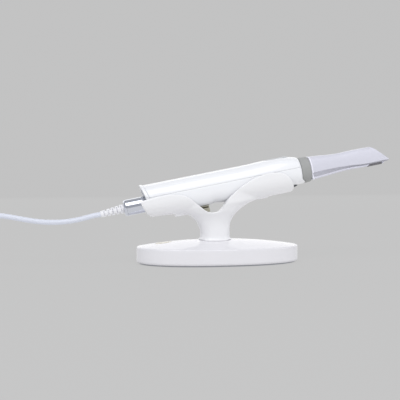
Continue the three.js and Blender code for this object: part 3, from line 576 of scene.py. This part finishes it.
def button(name, place, up, depth, height_at):
    """A round-ended key that follows the body's skin, with a soft edge and a skirt."""
    profile = [(0.02, 0), (0.2, 0), (0.38, 0), (0.55, 0), (0.7, 0), (0.8, 0), (0.87, 0.03),
               (0.92, 0.1), (0.96, 0.22), (0.985, 0.42), (1.0, 0.75), (1.0, depth)]
    side = 1 if up else -1
    sections = []
    for share, drop in profile:
        ring = [(x, y, height_at(x, y, share) - side * drop) for x, y in stadium(place, 0, share)]
        sections.append(ring)
    return loft(name, sections)


def build_buttons():
    def scan_height(x, y, share):
        dish = 0.45 * (1 - min(share / 0.7, 1) ** 2) ** 2
        return surface_z(x, y, True, 0.05 + 0.7 * ease(x, -27, -13)) - dish

    def trigger_height(x, y, share):
        floor = TRIGGER["floor"] + 0.9 * ease(x, -16, -8) - 0.3 * ease(-x, 20, 34)
        rise = (1 - min(abs(y) / 12.5, 1) ** 2.6) ** (1 / 2.6)
        rib = 0.22 * (0.5 + 0.5 * math.cos(2 * math.pi * x / 2.4)) * (1 - share**4)
        return float((10 + floor) / 2 - (10 - floor) / 2 * rise + rib)

    finished(button("scan_key", SCAN_BUTTON, True, 3.2, scan_height),
             "scan_button", "cap_grey", "scan_button")
    finished(button("trigger_key", TRIGGER, False, 3.6, trigger_height),
             "trigger", "dark_rubber", "trigger_button")


def swept_ring(name, profile, section, power=BODY_POWER, lean=0.0, only_above=None, shift=None):
    """Carries a closed (x, offset) profile round an oval. Offsets above 0 can fade out low down."""
    sections = []
    for x, offset in profile:
        ring = oval(x, *section(offset), power, 160)
        if only_above is not None and offset > 0:
            plain = oval(x, *section(0), power, 160)
            share = ease(plain[:, 2], only_above, only_above + 1.5)[:, None]
            ring = plain + (ring - plain) * share
        ring[:, 0] -= lean * (ring[:, 2] - SEAM)
        if shift:
            ring[:, 0] += shift(x, ring[:, 2])
        sections.append(ring)
    return loft(name, sections, caps="hoop")


def build_rear():
    front = BODY_REAR - 0.08
    rear = BODY_REAR - GAP - BEZEL_LENGTH
    profile = [(front, -2.4), (front, 0.1), (front - 0.15, 0.5), (front - 0.5, 0.8),
               (front - 1.1, BEZEL_PROUD), (rear + 1.1, BEZEL_PROUD), (rear + 0.5, 0.75),
               (rear + 0.1, 0.3), (rear, -0.3), (rear, -1.7), (rear + 0.3, -2.3),
               (rear + 0.7, -2.4)]
    bezel = swept_ring("rear_frame", profile, lambda grow: body_section(BODY_REAR, grow),
                       lean=RAKE, only_above=SEAM)
    finished(bezel, "handpiece", "gloss_white", "rear_bezel")

    edge = -2.4 - GAP
    angles = turn_angles(160)
    inner = COLLAR_RADIUS + GAP
    sections = []
    for x, share in [(front + 0.2, 1), (front - 1.3, 1), (front - 1.6, 0.97), (front - 1.6, 0.9),
                     (front - 1.2, 0.86), (front - 1.2, 0.25), (front - 1.6, 0.2), (front - 1.6, 0),
                     (front + 0.2, 0)]:
        outer = oval(x, *body_section(BODY_REAR, edge), BODY_POWER, 160)
        hole = round_ring(x, 0, COLLAR_AXIS, inner, angles)
        ring = hole + (outer - hole) * share
        ring[:, 0] -= RAKE * (ring[:, 2] - SEAM)
        sections.append(ring)
    finished(loft("end_cap", sections, caps="hoop"), "handpiece", "cap_grey", "rear_cap")

    bend, bore, wide_bore = 2.8, 4.9, 6.4
    flange_rear, flange_front, flange_radius = -152.6, -150.8, 9.2
    corner = []
    for angle in np.linspace(math.pi / 2, 0, 12):
        corner.append((COLLAR_END + bend * (1 - math.sin(angle)),
                       COLLAR_RADIUS - bend * (1 - math.cos(angle))))
    corner.reverse()
    outside = [(x, COLLAR_RADIUS)
               for x in (COLLAR_END + 2.9, COLLAR_END + 3.2, -176, -166, flange_rear)]
    profile = [(COLLAR_END + 3, bore), (COLLAR_END + 0.3, bore), (COLLAR_END, bore + 0.2), *corner,
               *outside, (flange_rear, flange_radius), (flange_front, flange_radius),
               (flange_front, wide_bore), (COLLAR_END + 3, wide_bore)]
    sections = [round_ring(x, 0, COLLAR_AXIS, radius, angles) for x, radius in profile]
    finished(loft("metal_collar", sections, caps="hoop"), "handpiece", "chrome", "rear_collar")


# ---- strain relief and lead


def hung(points):
    """From the relief's own line, along -x from the collar's end, to the wand's frame."""
    points = np.asarray(points, float)
    x = points[..., 0] * math.cos(RELIEF_DROOP) - points[..., 2] * math.sin(RELIEF_DROOP)
    z = points[..., 0] * math.sin(RELIEF_DROOP) + points[..., 2] * math.cos(RELIEF_DROOP)
    return np.stack([x + COLLAR_END, points[..., 1], z + COLLAR_AXIS], -1)


def build_relief():
    """A tapered bend relief whose windows sit in pairs, each pair turned from the last."""
    sides, slots, pitch, first = 144, 9, 2.13, -2.5
    angles = turn_angles(sides, 0)
    stations = np.concatenate([[6, 0, -0.4, -0.7, -1.2], np.arange(-1.4, -21.2, -0.13),
                               [-21.4, -22.4, -23.0, -23.2, -23.35]])
    sections = []
    for x in stations:
        outer = float(np.interp(x, [-23.4, -2.8, -1.2, -0.6, 5.5], [3.1, 4.4, 4.6, 4.3, 4.3]))
        end = 0.5 * ease(-x, 22.9, 23.4)
        radius = np.full(sides, outer - end)
        for k in range(slots):
            along = 1 - ease(abs(x - first + pitch * k), 0.44, 0.58)
            centre = math.pi / 2 if k % 2 else 0.0
            turn = np.abs((angles - centre + math.pi / 2) % math.pi - math.pi / 2)
            window = along * (1 - ease(turn, 0.86, 0.98))
            radius = radius - min(1.9, outer - 1.9) * window
        sections.append(hung(round_ring(x, 0, 0, radius, angles)))
    finished(loft("bend_relief", sections), "handpiece", "relief_white", "strain_relief", sharp=60)


def lead_path():
    """The lead's line: a sag behind the wand, a tied coil of nine turns, and a short tail."""
    relief_end = in_wand(hung([-RELIEF_LENGTH, 0, 0]))
    inside = in_wand(hung([-RELIEF_LENGTH + 2, 0, 0]))
    route = [(inside[0], inside[2]), (relief_end[0] - GAP, relief_end[2] - 0.07),
             (-122.5, 47.7), (-132, 45.3), (-142, 43.2), (-153, 42.0), (-164.5, 41.8),
             (-176, 42.7), (-188, 44.6), (-200, 47.0), (-210, 48.6), (-218, 48.9), (-226, 46.7),
             (-233, 41.9), (-239, 35.4), (-244.5, 28.7), (-251, 22.9), (-257, 20.0)]
    run = smooth_line([(x, 0, z) for x, z in route], 5)

    radii, heights = COIL["radii"], COIL["heights"]
    spots = [(radii[0], h) for h in reversed(heights)]
    spots += [(radii[1], h) for h in heights]
    spots += [(radii[2], h) for h in reversed(heights)]
    coil = []
    per_turn = 44
    for turn, (radius, height) in enumerate(spots):
        following = spots[min(turn + 1, len(spots) - 1)]
        for i in range(per_turn):
            share = i / per_turn
            angle = 2 * math.pi * share
            climb = ease(share, 0.76, 0.9) if following[0] == radius else 0.0
            step = ease(share, 0.88, 1.0) if following[0] != radius else 0.0
            r = radius + (following[0] - radius) * step
            z = height + (following[1] - height) * climb
            if turn == 0:
                entry = math.sin((1 - ease(share, 0.06, 0.4)) * math.pi / 2)
                r += 5.1 * entry
                z += 5.2 * entry**0.7
            coil.append((COIL["x"] - r * math.sin(angle), COIL["y"] - r * math.cos(angle), z))
    tail = [(COIL["x"] - d, COIL["y"] - radii[2], heights[0] + 1.0 * ease(d, 4, 26))
            for d in (0, 6, 12, 18, 24, 29, 33)]
    return np.vstack([run, coil, tail])


def build_lead():
    path = lead_path()
    angles = turn_angles(20, 0)
    ahead = np.gradient(path, axis=0)
    ahead /= np.linalg.norm(ahead, axis=1)[:, None]
    across = np.cross(ahead, [0, 0, 1])
    across /= np.linalg.norm(across, axis=1)[:, None]
    over = np.cross(across, ahead)
    sections = [
        p + CABLE_RADIUS * (np.outer(np.cos(angles), a) + np.outer(np.sin(angles), o))
        for p, a, o in zip(path, across, over)
    ]
    lead = loft("data_lead", sections, "row")
    finished(lead, None, "cable_white", "cable_run", "cable_coil", "cable_tail", sharp=60)
    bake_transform(lead)
    pieces = [build_tie(), *build_plug()]


def rounded_corners(left, right, low, high, corner, count=10):
    """A rounded rectangle's points, each as its corner's centre and the direction from there."""
    left, right, low, high = left + corner, right - corner, low + corner, high - corner
    for y, z, start in ((right, high, 0), (left, high, 90), (left, low, 180), (right, low, 270)):
        for angle in np.radians(np.linspace(start, start + 90, count)):
            yield y, z, math.cos(angle), math.sin(angle)


def box_ring(x, y, half, low, high, corner, count=10):
    """A rounded rectangle standing across x."""
    return [(x, y + cy + corner * c, cz + corner * s)
            for cy, cz, c, s in rounded_corners(-half, half, low, high, corner, count)]


def build_tie():
    """A strap round the coil's bundle at its far side."""
    inner, outer = 20.3 - GAP - 0.5, 35.7 + GAP
    low, high, thick, corner = 0.9, 16.5, 0.8, 1.6
    sections = []
    for cx, cz, c, s in rounded_corners(inner, outer, low, high, corner):
        ring = []
        for x, reach in ((-4, 0.15), (-3.8, 0), (3.8, 0), (4, 0.15),
                         (4, thick - 0.15), (3.8, thick), (-3.8, thick), (-4, thick - 0.15)):
            radius = corner + reach
            ring.append((COIL["x"] + x, COIL["y"] + cx + radius * c, cz + radius * s))
        sections.append(ring)
    tie = loft("coil_strap", sections, "row", caps="hoop")
    return finished(tie, "stand", "dark_rubber", "coil_tie")


def build_plug():
    sections = []
    for x, radius in [(0.4, 2.7), (0, 3.0), (-0.4, 3.1), (-1.6, 3.2), (-1.9, 2.8), (-2.7, 2.8),
                      (-3.0, 3.35), (-4.2, 3.45), (-4.5, 3.0), (-5.3, 3.0), (-5.6, 3.6),
                      (-6.8, 3.7), (-7.1, 3.2), (-7.9, 3.2), (-8.2, 3.85), (-10, 3.9)]:
        sections.append(round_ring(PLUG_AT + x, PLUG_Y, PLUG_Z, radius, turn_angles(48, 0)))
    relief = finished(loft("plug_boot", sections, "row"), "stand", "cable_white", "plug_relief")

    start = PLUG_AT - 10 - GAP
    grips = [(x - along, inward) for x in (-5, -8, -11)
             for along, inward in ((0, 0), (0.4, 0.35), (1.2, 0.35), (1.6, 0))]
    sections = []
    for x, inward in [(0, 1.6), (-0.3, 0.8), (-1.0, 0.2), (-2, 0), *grips, (-19, 0), (-20, 0.15),
                      (-20.7, 0.6), (-21, 1.2)]:
        sections.append(box_ring(start + x, PLUG_Y, 8 - inward, 0.2 + inward, 8.6 - inward,
                                 2.4 - inward * 0.6))
    body = finished(loft("plug_grip", sections, "row"), "stand", "cable_white", "plug_body")

    start = PLUG_AT - 31 - 2 * GAP
    shell_rings = [box_ring(x, PLUG_Y, half, low, high, 0.5, 6) for x, half, low, high in (
        (start, 6, 2.15, 6.65), (start - 11.8, 6, 2.15, 6.65), (start - 12, 5.9, 2.25, 6.55),
        (start - 12, 5.7, 2.45, 6.35), (start - 1, 5.6, 2.55, 6.25), (start - 1, 1, 4, 5))]
    shell_piece = loft("plug_sleeve", shell_rings, "row")
    for y in (-2.4, 2.4):
        hole = loft("cutter", [box_ring(x, PLUG_Y + y, 1.1, 5.5, 8, 0.3, 4)
                               for x in (start - 7.4, start - 5.2)], "row")
        boolean(shell_piece, "DIFFERENCE", hole)
    finished(shell_piece, "stand", "steel", "plug_shell")
    tongue = loft("plug_tongue", [box_ring(x, PLUG_Y, 5.3, 2.6, 4.3, 0.2, 4)
                                  for x in (start - 0.9, start - 11.4)], "row")
    finished(tongue, "stand", "black_plastic")
    return [relief, body, shell_piece, tongue]


# ---- seal ring, nose and tip


def build_seal():
    def section(offset):
        return 13.2 + offset, -12.9 - offset, 13.3 + offset

    def shift(x, z):
        rear_share = 1 - ease(x, RING_REAR, RING_FRONT)
        return 3.2 * ease(-z, 7, 11.5) * rear_share

    profile = [(RING_REAR, -3), (RING_REAR, -0.9), (RING_REAR + 0.2, -0.35),
               (RING_REAR + 0.7, -0.05), (RING_REAR + 1.5, 0), (RING_REAR + 5, -0.2),
               (RING_FRONT - 1.0, -0.35), (RING_FRONT - 0.35, -0.6), (RING_FRONT - 0.05, -1.0),
               (RING_FRONT, -1.5), (RING_FRONT, -5.6), (RING_REAR + 2.3, -5.6),
               (RING_REAR + 2.3, -3)]
    finished(swept_ring("seal_band", profile, section, shift=shift),
             "handpiece", "seal_grey", "seal_ring")

    def nose_section(offset):
        return 6.9 + offset, -6.1 - offset, 6.4 + offset

    profile = [(RING_REAR, -1.4), (RING_REAR, 0), (NOSE_END - 4, 0), (NOSE_END - 0.8, -0.05),
               (NOSE_END - 0.2, -0.3), (NOSE_END, -0.7), (NOSE_END, -1.4)]
    nose = swept_ring("optical_snout", profile, nose_section, power=3)
    finished(nose, "handpiece", "black_plastic", "optical_nose")
    lens = NOSE_END + GAP
    rings = [oval(lens + x, *nose_section(offset), 3) for x, offset in (
        (0, -0.6), (0, -0.2), (0.3, 0), (0.9, 0), (1.2, -0.2), (1.2, -0.6))]
    finished(loft("front_lens", rings), "handpiece", "glass", "nose_window")


def tip_groove(x):
    """Bottom and top of the groove, and the tip's half width."""
    floor = -10.6 + 2.15 * ease(x, 3, 48) - 0.6 * ease(x, 48, 66)
    low = floor + KEEL_HEIGHT
    high = low + 4.6 - 3.5 * ease(x, TIP_REAR, 66)
    return low, high, TIP_HALF_WIDTH + 3 * (1 - ease(x, TIP_REAR, TIP_ROOT_END))


def tip_section(x, grow=0.0, count=60):
    """Dome, straight sides, a groove under them, and a narrower keel."""
    root = 1 - ease(x, TIP_REAR, TIP_ROOT_END)
    low, shoulder, half = tip_groove(x)
    half += grow
    floor = low - KEEL_HEIGHT - grow
    top = 9.6 + 2.6 * root + 0.6 * ease(x, 26, 60) - 0.3 * ease(x, 60, 74) + grow
    keel = half - 1.9
    points = []
    spring = shoulder + 0.4
    for angle in np.linspace(0, math.pi, count):
        points.append((half * signed_power(math.cos(angle), 2 / 3.2),
                       spring + (top - spring) * signed_power(math.sin(angle), 2 / 3.2)))
    side = [(half - 0.15, shoulder), (half - 0.6, shoulder - 0.15), (keel, shoulder - 0.25),
            (keel, low + 0.1), (keel + 0.9, low - 0.25), (keel + 1.1, low - 0.7),
            (keel + 0.9, floor + 0.7), (keel + 0.3, floor + 0.15), (keel - 0.6, floor)]
    under = [(-y, z) for y, z in side] + [(0, floor)] + side[::-1]
    return np.array([(x, y, z) for y, z in points + under])


def mark_tip_painted_light(piece):
    """Marks the painted shade along the groove under the tip's sides, and the painted highlight on
    the rim next to the seal ring.
    """
    mesh = piece.data
    spots = np.empty(len(mesh.vertices) * 3)
    mesh.vertices.foreach_get("co", spots)
    spots = spots.reshape(-1, 3) / MM - WAND_AT
    x = spots[:, 0] * math.cos(TILT) + spots[:, 2] * math.sin(TILT)
    z = spots[:, 2] * math.cos(TILT) - spots[:, 0] * math.sin(TILT)
    low, high, half = tip_groove(x)
    outside = ease(np.abs(spots[:, 1]), half - 2.6, half - 2.2)
    # painted shade: strongest low in the groove, fading towards its top
    groove = ease(z, low - 0.3, low + 0.3) * (1 - 0.75 * ease(z, low + 0.4, high + 0.6)) * outside
    groove *= 1 - ease(z, high, high + 0.8)
    # painted highlight on the tip's rear 1.5 mm, next to the seal ring
    rim = 1 - ease(x, TIP_REAR + 1.2, TIP_REAR + 1.8)
    for name, values in (("groove", groove), ("rim", rim)):
        mark = mesh.attributes.new(name, "FLOAT", "POINT")
        mark.data.foreach_set("value", values.astype(np.float32))


def bent(start, corner, end, count=8):
    """A rounded corner between two points of an outline."""
    start, corner, end = map(np.array, (start, corner, end))
    return [tuple((1 - t) ** 2 * start + 2 * t * (1 - t) * corner + t * t * end)
            for t in np.linspace(0, 1, count)]


def build_tip():
    stations = [*np.linspace(TIP_REAR, TIP_REAR + 1.5, 4), *np.linspace(9, TIP_NOSE + 3, 44)]
    sleeve = loft("mirror_tip", [tip_section(x) for x in stations])
    lip = loft("cutter", [tip_section(x, grow) for x, grow in (
        (TIP_REAR, 0.1), (TIP_REAR + 0.35, 0.45), (TIP_REAR + 1.1, 0.45), (TIP_REAR + 1.6, 0.05))])
    boolean(sleeve, "UNION", lip)

    top, nose, window = TIP_TOP_END, TIP_NOSE, WINDOW["front"]
    outline = [(0, -20), (0, 20), (top - 3, 20),
               *bent((top - 0.9, 10.1), (top + 1.2, 9.8), (top + 2.8, 8.2)),
               *bent((nose - 0.8, -4.4), (nose + 0.9, -6.1), (nose - 1.0, -6.8)),
               (window + 0.2, -7.4), (window + 0.2, -20)]
    boolean(sleeve, "INTERSECT", side_slab("cutter", outline, (-30, 30)))

    bore = loft("cutter", [oval(x, TIP_BORE["top"], TIP_BORE["floor"], TIP_BORE["half"], 3, 64)
                           for x in (TIP_REAR - 2, TIP_NOSE)])
    slope = side_slab("slope", [(0, -30), (0, 30), (42.6, 30), (66.4, 9.6), (84.8, -6.2),
                                (84.8, -30)], (-20, 20))
    boolean(bore, "INTERSECT", slope)
    scoop = side_slab("cutter", [
        (WINDOW["rear"] - 1.6, -20), (WINDOW["rear"], -9), (WINDOW["rear"] + 3, WINDOW["ceiling"]),
        (window, WINDOW["ceiling"]), (window, -20)], (-30, 30))
    hole = loft("cutter", [box_ring(x, 0, 5.4, -20, -3, 0.8) for x in
                           (WINDOW["rear"], window - 0.4)])
    boolean(sleeve, "DIFFERENCE", bore, scoop, hole)
    chin = loft("cutter", [box_ring(x, 0, half, low, -5.6, 0.6) for x, half, low in (
        (window + 0.2, 5.6, -8.6), (window + 0.6, 6, -9), (window + 2.4, 6, -8.6),
        (window + 2.9, 5.6, -7.8))])
    boolean(sleeve, "UNION", chin)
    remeshed(sleeve, 0.3, 4)
    mark_tip_painted_light(sleeve)
    finished(sleeve, "tip", "tip_white", "tip_sleeve", sharp=60)

    # Grey rails round the window opening; their dark grey is partly painted shade, standing in for
    # the shaded inside of the opening below the side panel.
    rails = loft("window_frame", [box_ring(x, 0, half, low, -7.0, 0.5) for x, half, low in (
        (WINDOW["rear"] + 0.7, 6.3, -8.9), (WINDOW["rear"] + 1.0, 6.6, -9.2),
        (window - 0.3, 6.6, -9.2), (window, 6.3, -8.9))])
    opening = loft("cutter", [box_ring(x, 0, 5.4, -12, -5, 0.4)
                              for x in (WINDOW["rear"] + 2, window - 1.4)])
    boolean(rails, "DIFFERENCE", opening)
    finished(rails, "tip", "window_grey")


# ---- cradle


def cup_section(x, half, floor, count=48):
    """A trough that is open upwards."""
    points = []
    for angle in np.linspace(math.pi, 2 * math.pi, count):
        points.append((half * signed_power(math.cos(angle), 2 / BODY_POWER),
                       CUP_WAIST + (CUP_WAIST - floor)
                       * signed_power(math.sin(angle), 2 / BODY_POWER)))
    points += [(half, 34), (-half, 34)]
    return np.array([(x, y, z) for y, z in points])


def cradle_outline(dip):
    """The side view in the wand's frame: both cups, and the dip between them."""
    front = smooth_line([(-21.2, CUP_FLOOR - 0.4), (-17.8, -18.2), (-15.9, -16.2),
                         (-15.8, -12.5)], 5)
    rim = smooth_line([
        (-16.4, -9.2), (-18.4, -5.3), (-21, -1.4), (-24.6, 2.0), (-28.2, 3.6), (-32.2, 4.5),
        (-42.2, 5.2), (-55, 3), *dip, (-113.4, -11.6), (-120.9, -3.2), (-128.2, 1.2), (-137.2, 3.6),
        (-148.2, 4.1), (-157.2, 3.9), (-165.6, 3.2)], 8)
    rear = smooth_line([(-167.6, 2.6), (-167.8, 0.4), (-166.4, -4.2), (-164.2, -8.8),
                        (-161.4, -12.9), (-157.8, -16), (-154, -17.6), (-149.4, -18.3)], 5)
    return np.vstack([[(-21.2, -90)], front, rim, rear, [(-149.4, -90)]])


def neck_rings():
    """The foot follows the dome below, and the rings above lean over to follow the wand."""
    foot = [(-6, 17.4, 15.2), (0, 17.2, 15), (0.3, 16.4, 14.2), (0.9, 15.6, 13.3), (2, 15, 12.6),
            (4, 14.7, 12.1)]
    rings = []
    for over, half_x, half_y in foot:
        ring = flat_oval(0, NECK_X, 0, half_x, half_y, 2.3)
        ring[:, 2] = dome_height(ring[:, 0], ring[:, 1]) + over
        rings.append(ring)
    upper = smooth_line([
        (30.5, NECK_X, 14.7, 12, 0), (37.5, -3.9, 15.9, 12.4, 1.2), (43.1, -4.4, 18.5, 13.6, 2.3),
        (47.5, -5.1, 22.7, 15.6, 2.6), (50.5, -5.5, 26.9, 17.4, 3.8), (54.8, -4.1, 34.6, 18.8, 6.8),
        (58.5, -1.5, 43.8, 20, 7.2), (62.5, -1, 47, 20.3, 9), (71, 2, 56, 20.7, 10.9)], 4)
    for height, middle, half_x, half_y, lean in upper:
        ring = flat_oval(height, middle, 0, half_x, half_y, 2.3)
        ring[:, 2] += (ring[:, 0] - middle) * math.tan(math.radians(lean))
        rings.append(ring)
    return rings


def build_cradle():
    outside = loft("cradle_body", [
        cup_section(x, BODY_HALF_WIDTH + CUP_CLEARANCE + CUP_WALL,
                    CUP_FLOOR + 3.1 * (max(0.0, -121.2 - x) / 33) ** 0.85)
        for x in np.linspace(CUP_REAR, CUP_FRONT, 60)])
    boolean(outside, "UNION", loft("cutter", neck_rings(), "row"))
    remeshed(outside, 0.8, 14)
    near = side_slab("silhouette", cradle_outline(NEAR_DIP), (-60, -11.9))
    far = side_slab("cutter", cradle_outline(FAR_DIP), (-12, 60))
    boolean(outside, "INTERSECT", boolean(near, "UNION", far))
    ribs = [loft("cutter", [box_ring(x, 0, 7, low, -14, 1.2) for x in (start, end)])
            for start, end, low in RIBS]
    boolean(outside, "UNION", *ribs)
    inside = loft("cutter", [
        cup_section(x, BODY_HALF_WIDTH + CUP_CLEARANCE, BODY_FLOOR - CUP_CLEARANCE + tail_rise(x))
        for x in np.linspace(CUP_REAR - 2, CUP_FRONT + 2, 60)])
    boolean(outside, "DIFFERENCE", inside, dome("cutter", 0.06))
    beds = [pad("bed", start - GAP, end + GAP, wider=GAP, deeper=0.5, higher=2.0)
            for start, end in PAD_SPANS]
    boolean(outside, "DIFFERENCE", *beds, heel("cutter", GAP))
    remeshed(outside, 0.5, 10)
    finished(outside, "stand", "satin_white", "cradle", sharp=70)
    for (start, end), node in zip(PAD_SPANS, ("rear_cradle_pad", "front_cradle_pad")):
        liner = pad(node + "_liner", start, end)
        if node == "rear_cradle_pad":
            boolean(liner, "UNION", heel("cutter", 0))
        finished(liner, "stand", "silicone", node)


def heel(name, grow):
    """The block at the rear pad's front end."""
    front = PAD_SPANS[0][1]
    return loft(name, [
        box_ring(x, 0, PAD_HALF_WIDTH + grow, HEEL_FLOOR - grow, HEEL_TOP + grow, 0.5)
        for x in (front - HEEL_LENGTH - grow, front + grow)])


def pad(name, start, end, wider=0.0, deeper=0.0, higher=0.0):
    """A strip that lines the cup's floor under the body."""
    def curve(y, half):
        return (1 - (abs(y) / half) ** BODY_POWER) ** (1 / BODY_POWER)

    sections = []
    across = np.linspace(-PAD_HALF_WIDTH - wider, PAD_HALF_WIDTH + wider, 25)
    for x in np.linspace(start, end, 30):
        floor = BODY_FLOOR + tail_rise(x)
        middle = (BODY_TOP + floor) / 2
        depth = CUP_WAIST - floor + PAD_THICKNESS + deeper + GAP
        under = [(x, y, CUP_WAIST - depth * curve(y, BODY_HALF_WIDTH + CUP_CLEARANCE))
                 for y in across]
        depth = middle - floor + CUP_CLEARANCE
        sections.append(under + [
            (x, y, middle - depth * curve(y, BODY_HALF_WIDTH + GAP) + higher)
            for y in across[::-1]])
    return loft(name, sections)


# ---- base


def base_ring(z, inset):
    return flat_oval(z, 0, 0, BASE_LENGTH / 2 - inset, BASE_DEPTH / 2 - inset, BASE_POWER, 200)


def dome_height(x, y):
    share = ((np.abs(x) / (BASE_LENGTH / 2 - BASE_FILLET)) ** BASE_POWER
             + (np.abs(y) / (BASE_DEPTH / 2 - BASE_FILLET)) ** BASE_POWER) ** (1 / BASE_POWER)
    return BASE_RIM + (BASE_CROWN - BASE_RIM) * (1 - np.minimum(share, 1) ** 2)


def dome(name, lift):
    """The base's solid, or one a little taller."""
    low = FOOT_HEIGHT + GAP
    skirt = low - 0.8
    rings = [base_ring(low, 3.4), base_ring(low, 1.9), base_ring(skirt, 1.8), base_ring(skirt, 0.7),
             base_ring(skirt + 0.1, 0.35), base_ring(skirt + 0.4, 0.1), base_ring(skirt + 0.9, 0.0)]
    rim = BASE_RIM + lift
    rings += [base_ring(z, 0) for z in np.linspace(5, rim - BASE_FILLET, 6)]
    for angle in np.linspace(0, math.radians(72), 8)[1:]:
        rings.append(base_ring(rim - BASE_FILLET * (1 - math.sin(angle)),
                               BASE_FILLET * (1 - math.cos(angle))))
    for share in (0.985, 0.96, 0.92, 0.86, 0.78, 0.69, 0.6, 0.5, 0.4, 0.3, 0.2, 0.1, 0.03):
        rings.append(flat_oval(
            rim + (BASE_CROWN - BASE_RIM) * (1 - share**2), 0, 0,
            (BASE_LENGTH / 2 - BASE_FILLET) * share, (BASE_DEPTH / 2 - BASE_FILLET) * share,
            BASE_POWER, 200))
    return loft(name, rings, "row")


def badge_ring(inset, over):
    """The badge's outline on the dome, drawn in and raised."""
    ring = flat_oval(0, 0, 0, BADGE["half_x"] - inset, BADGE["half_y"] - inset, 2, 96)
    turn = math.radians(BADGE["turn"])
    x = BADGE["x"] + ring[:, 0] * math.cos(turn) - ring[:, 1] * math.sin(turn)
    y = BADGE["y"] + ring[:, 0] * math.sin(turn) + ring[:, 1] * math.cos(turn)
    return np.stack([x, y, dome_height(x, y) + over], -1)


def build_base():
    cover = dome("base_cover", 0)
    recess = loft("cutter", [badge_ring(-0.4, over) for over in (-0.9, 4)], "row")
    boolean(cover, "DIFFERENCE", recess)
    finished(cover, "stand", "base_white", "base_shell", sharp=30)

    rings = [base_ring(z, inset) for z, inset in (
        (0, 2.9), (0.15, 2.4), (0.4, 2.2), (1.4, 2.2), (FOOT_HEIGHT, 2.4))]
    finished(loft("base_foot", rings, "row"), "stand", "foot_grey", "anti_slip_pad")

    top = BADGE["proud"]
    rings = [badge_ring(inset, over) for inset, over in (
        (0, -0.9), (0, top - 0.35), (0.1, top - 0.12), (0.4, top), (0.9, top), (1.1, top - 0.15),
        (1.6, top - 0.15), (2.3, top + 0.1))]
    finished(loft("badge_inlay", rings, "row"), "stand", "pearl", "base_badge")


# ---- studio


def add_area(name, place, target, size, power, seen=True):
    data = bpy.data.lights.new(name, "AREA")
    data.shape = "RECTANGLE"
    data.size, data.size_y = size
    data.energy = power
    light = bpy.data.objects.new(name, data)
    bpy.context.scene.collection.objects.link(light)
    light.location = place
    light.rotation_mode = "QUATERNION"
    light.rotation_quaternion = (Vector(target) - Vector(place)).to_track_quat("-Z", "Y")
    light.visible_camera = False
    light.visible_glossy = seen


def add_studio():
    scene = bpy.context.scene
    scene.view_settings.view_transform = "Standard"
    world = bpy.data.worlds.new("room")
    world.use_nodes = True
    world.node_tree.nodes["Background"].inputs["Color"].default_value = (0.93, 0.95, 1.0, 1)
    world.node_tree.nodes["Background"].inputs["Strength"].default_value = 0.5
    scene.world = world

    outline = [(-3.0, 0.0), *[(1.2 + 0.8 * math.sin(a), 0.8 - 0.8 * math.cos(a))
                              for a in np.linspace(0, math.pi / 2, 16)], (2.0, 4.0)]
    points, faces = [], []
    for y, z in outline:
        points += [(-4000, y * 1000, z * 1000 - 0.4), (4000, y * 1000, z * 1000 - 0.4)]
    for i in range(len(outline) - 1):
        faces.append((2 * i, 2 * i + 1, 2 * i + 3, 2 * i + 2))
    sweep = mesh_object("studio_sweep", points, faces)
    for polygon in sweep.data.polygons:
        polygon.use_smooth = True
    paper = bpy.data.materials.new("paper")
    paper.use_nodes = True
    shader = paper.node_tree.nodes["Principled BSDF"]
    shader.inputs["Base Color"].default_value = (0.05, 0.05, 0.05, 1)
    shader.inputs["Roughness"].default_value = 1.0
    shader.inputs["Specular IOR Level"].default_value = 0.0
    shader.inputs["Emission Color"].default_value = (1, 1, 1, 1)
    shader.inputs["Emission Strength"].default_value = 0.513
    sweep.data.materials.append(paper)

    add_area("key", (-0.25, -0.7, 1.1), (0, 0, 0.08), (1.3, 0.9), 9)
    add_area("front", (0.3, -1.5, 0.5), (0, 0, 0.07), (1.6, 0.7), 3.8, seen=False)
    add_area("back", (0, 1.0, 0.46), (0, 0, 0.06), (2.2, 0.86), 4.2)
    add_area("right", (1.1, -0.5, 0.35), (0, 0, 0.1), (0.5, 0.7), 1.2)
    add_area("floor_bounce", (0, -0.3, 0.002), (0, -0.3, 1), (1.6, 1.2), 1.5)


# ---- the object

add_camera()
finishes = make_finishes()
slots = {entry["node"]: entry["material_slot"] for entry in frame["record"]["subparts"]}
for node, part in frame["nodes"].items():
    part.data.materials.clear()
    part.data.materials.append(finishes[slots[node]].material)

build_lead()
build_relief()
build_rear()
build_shells()
build_buttons()
build_seal()
build_tip()
build_cradle()
build_base()
add_studio()
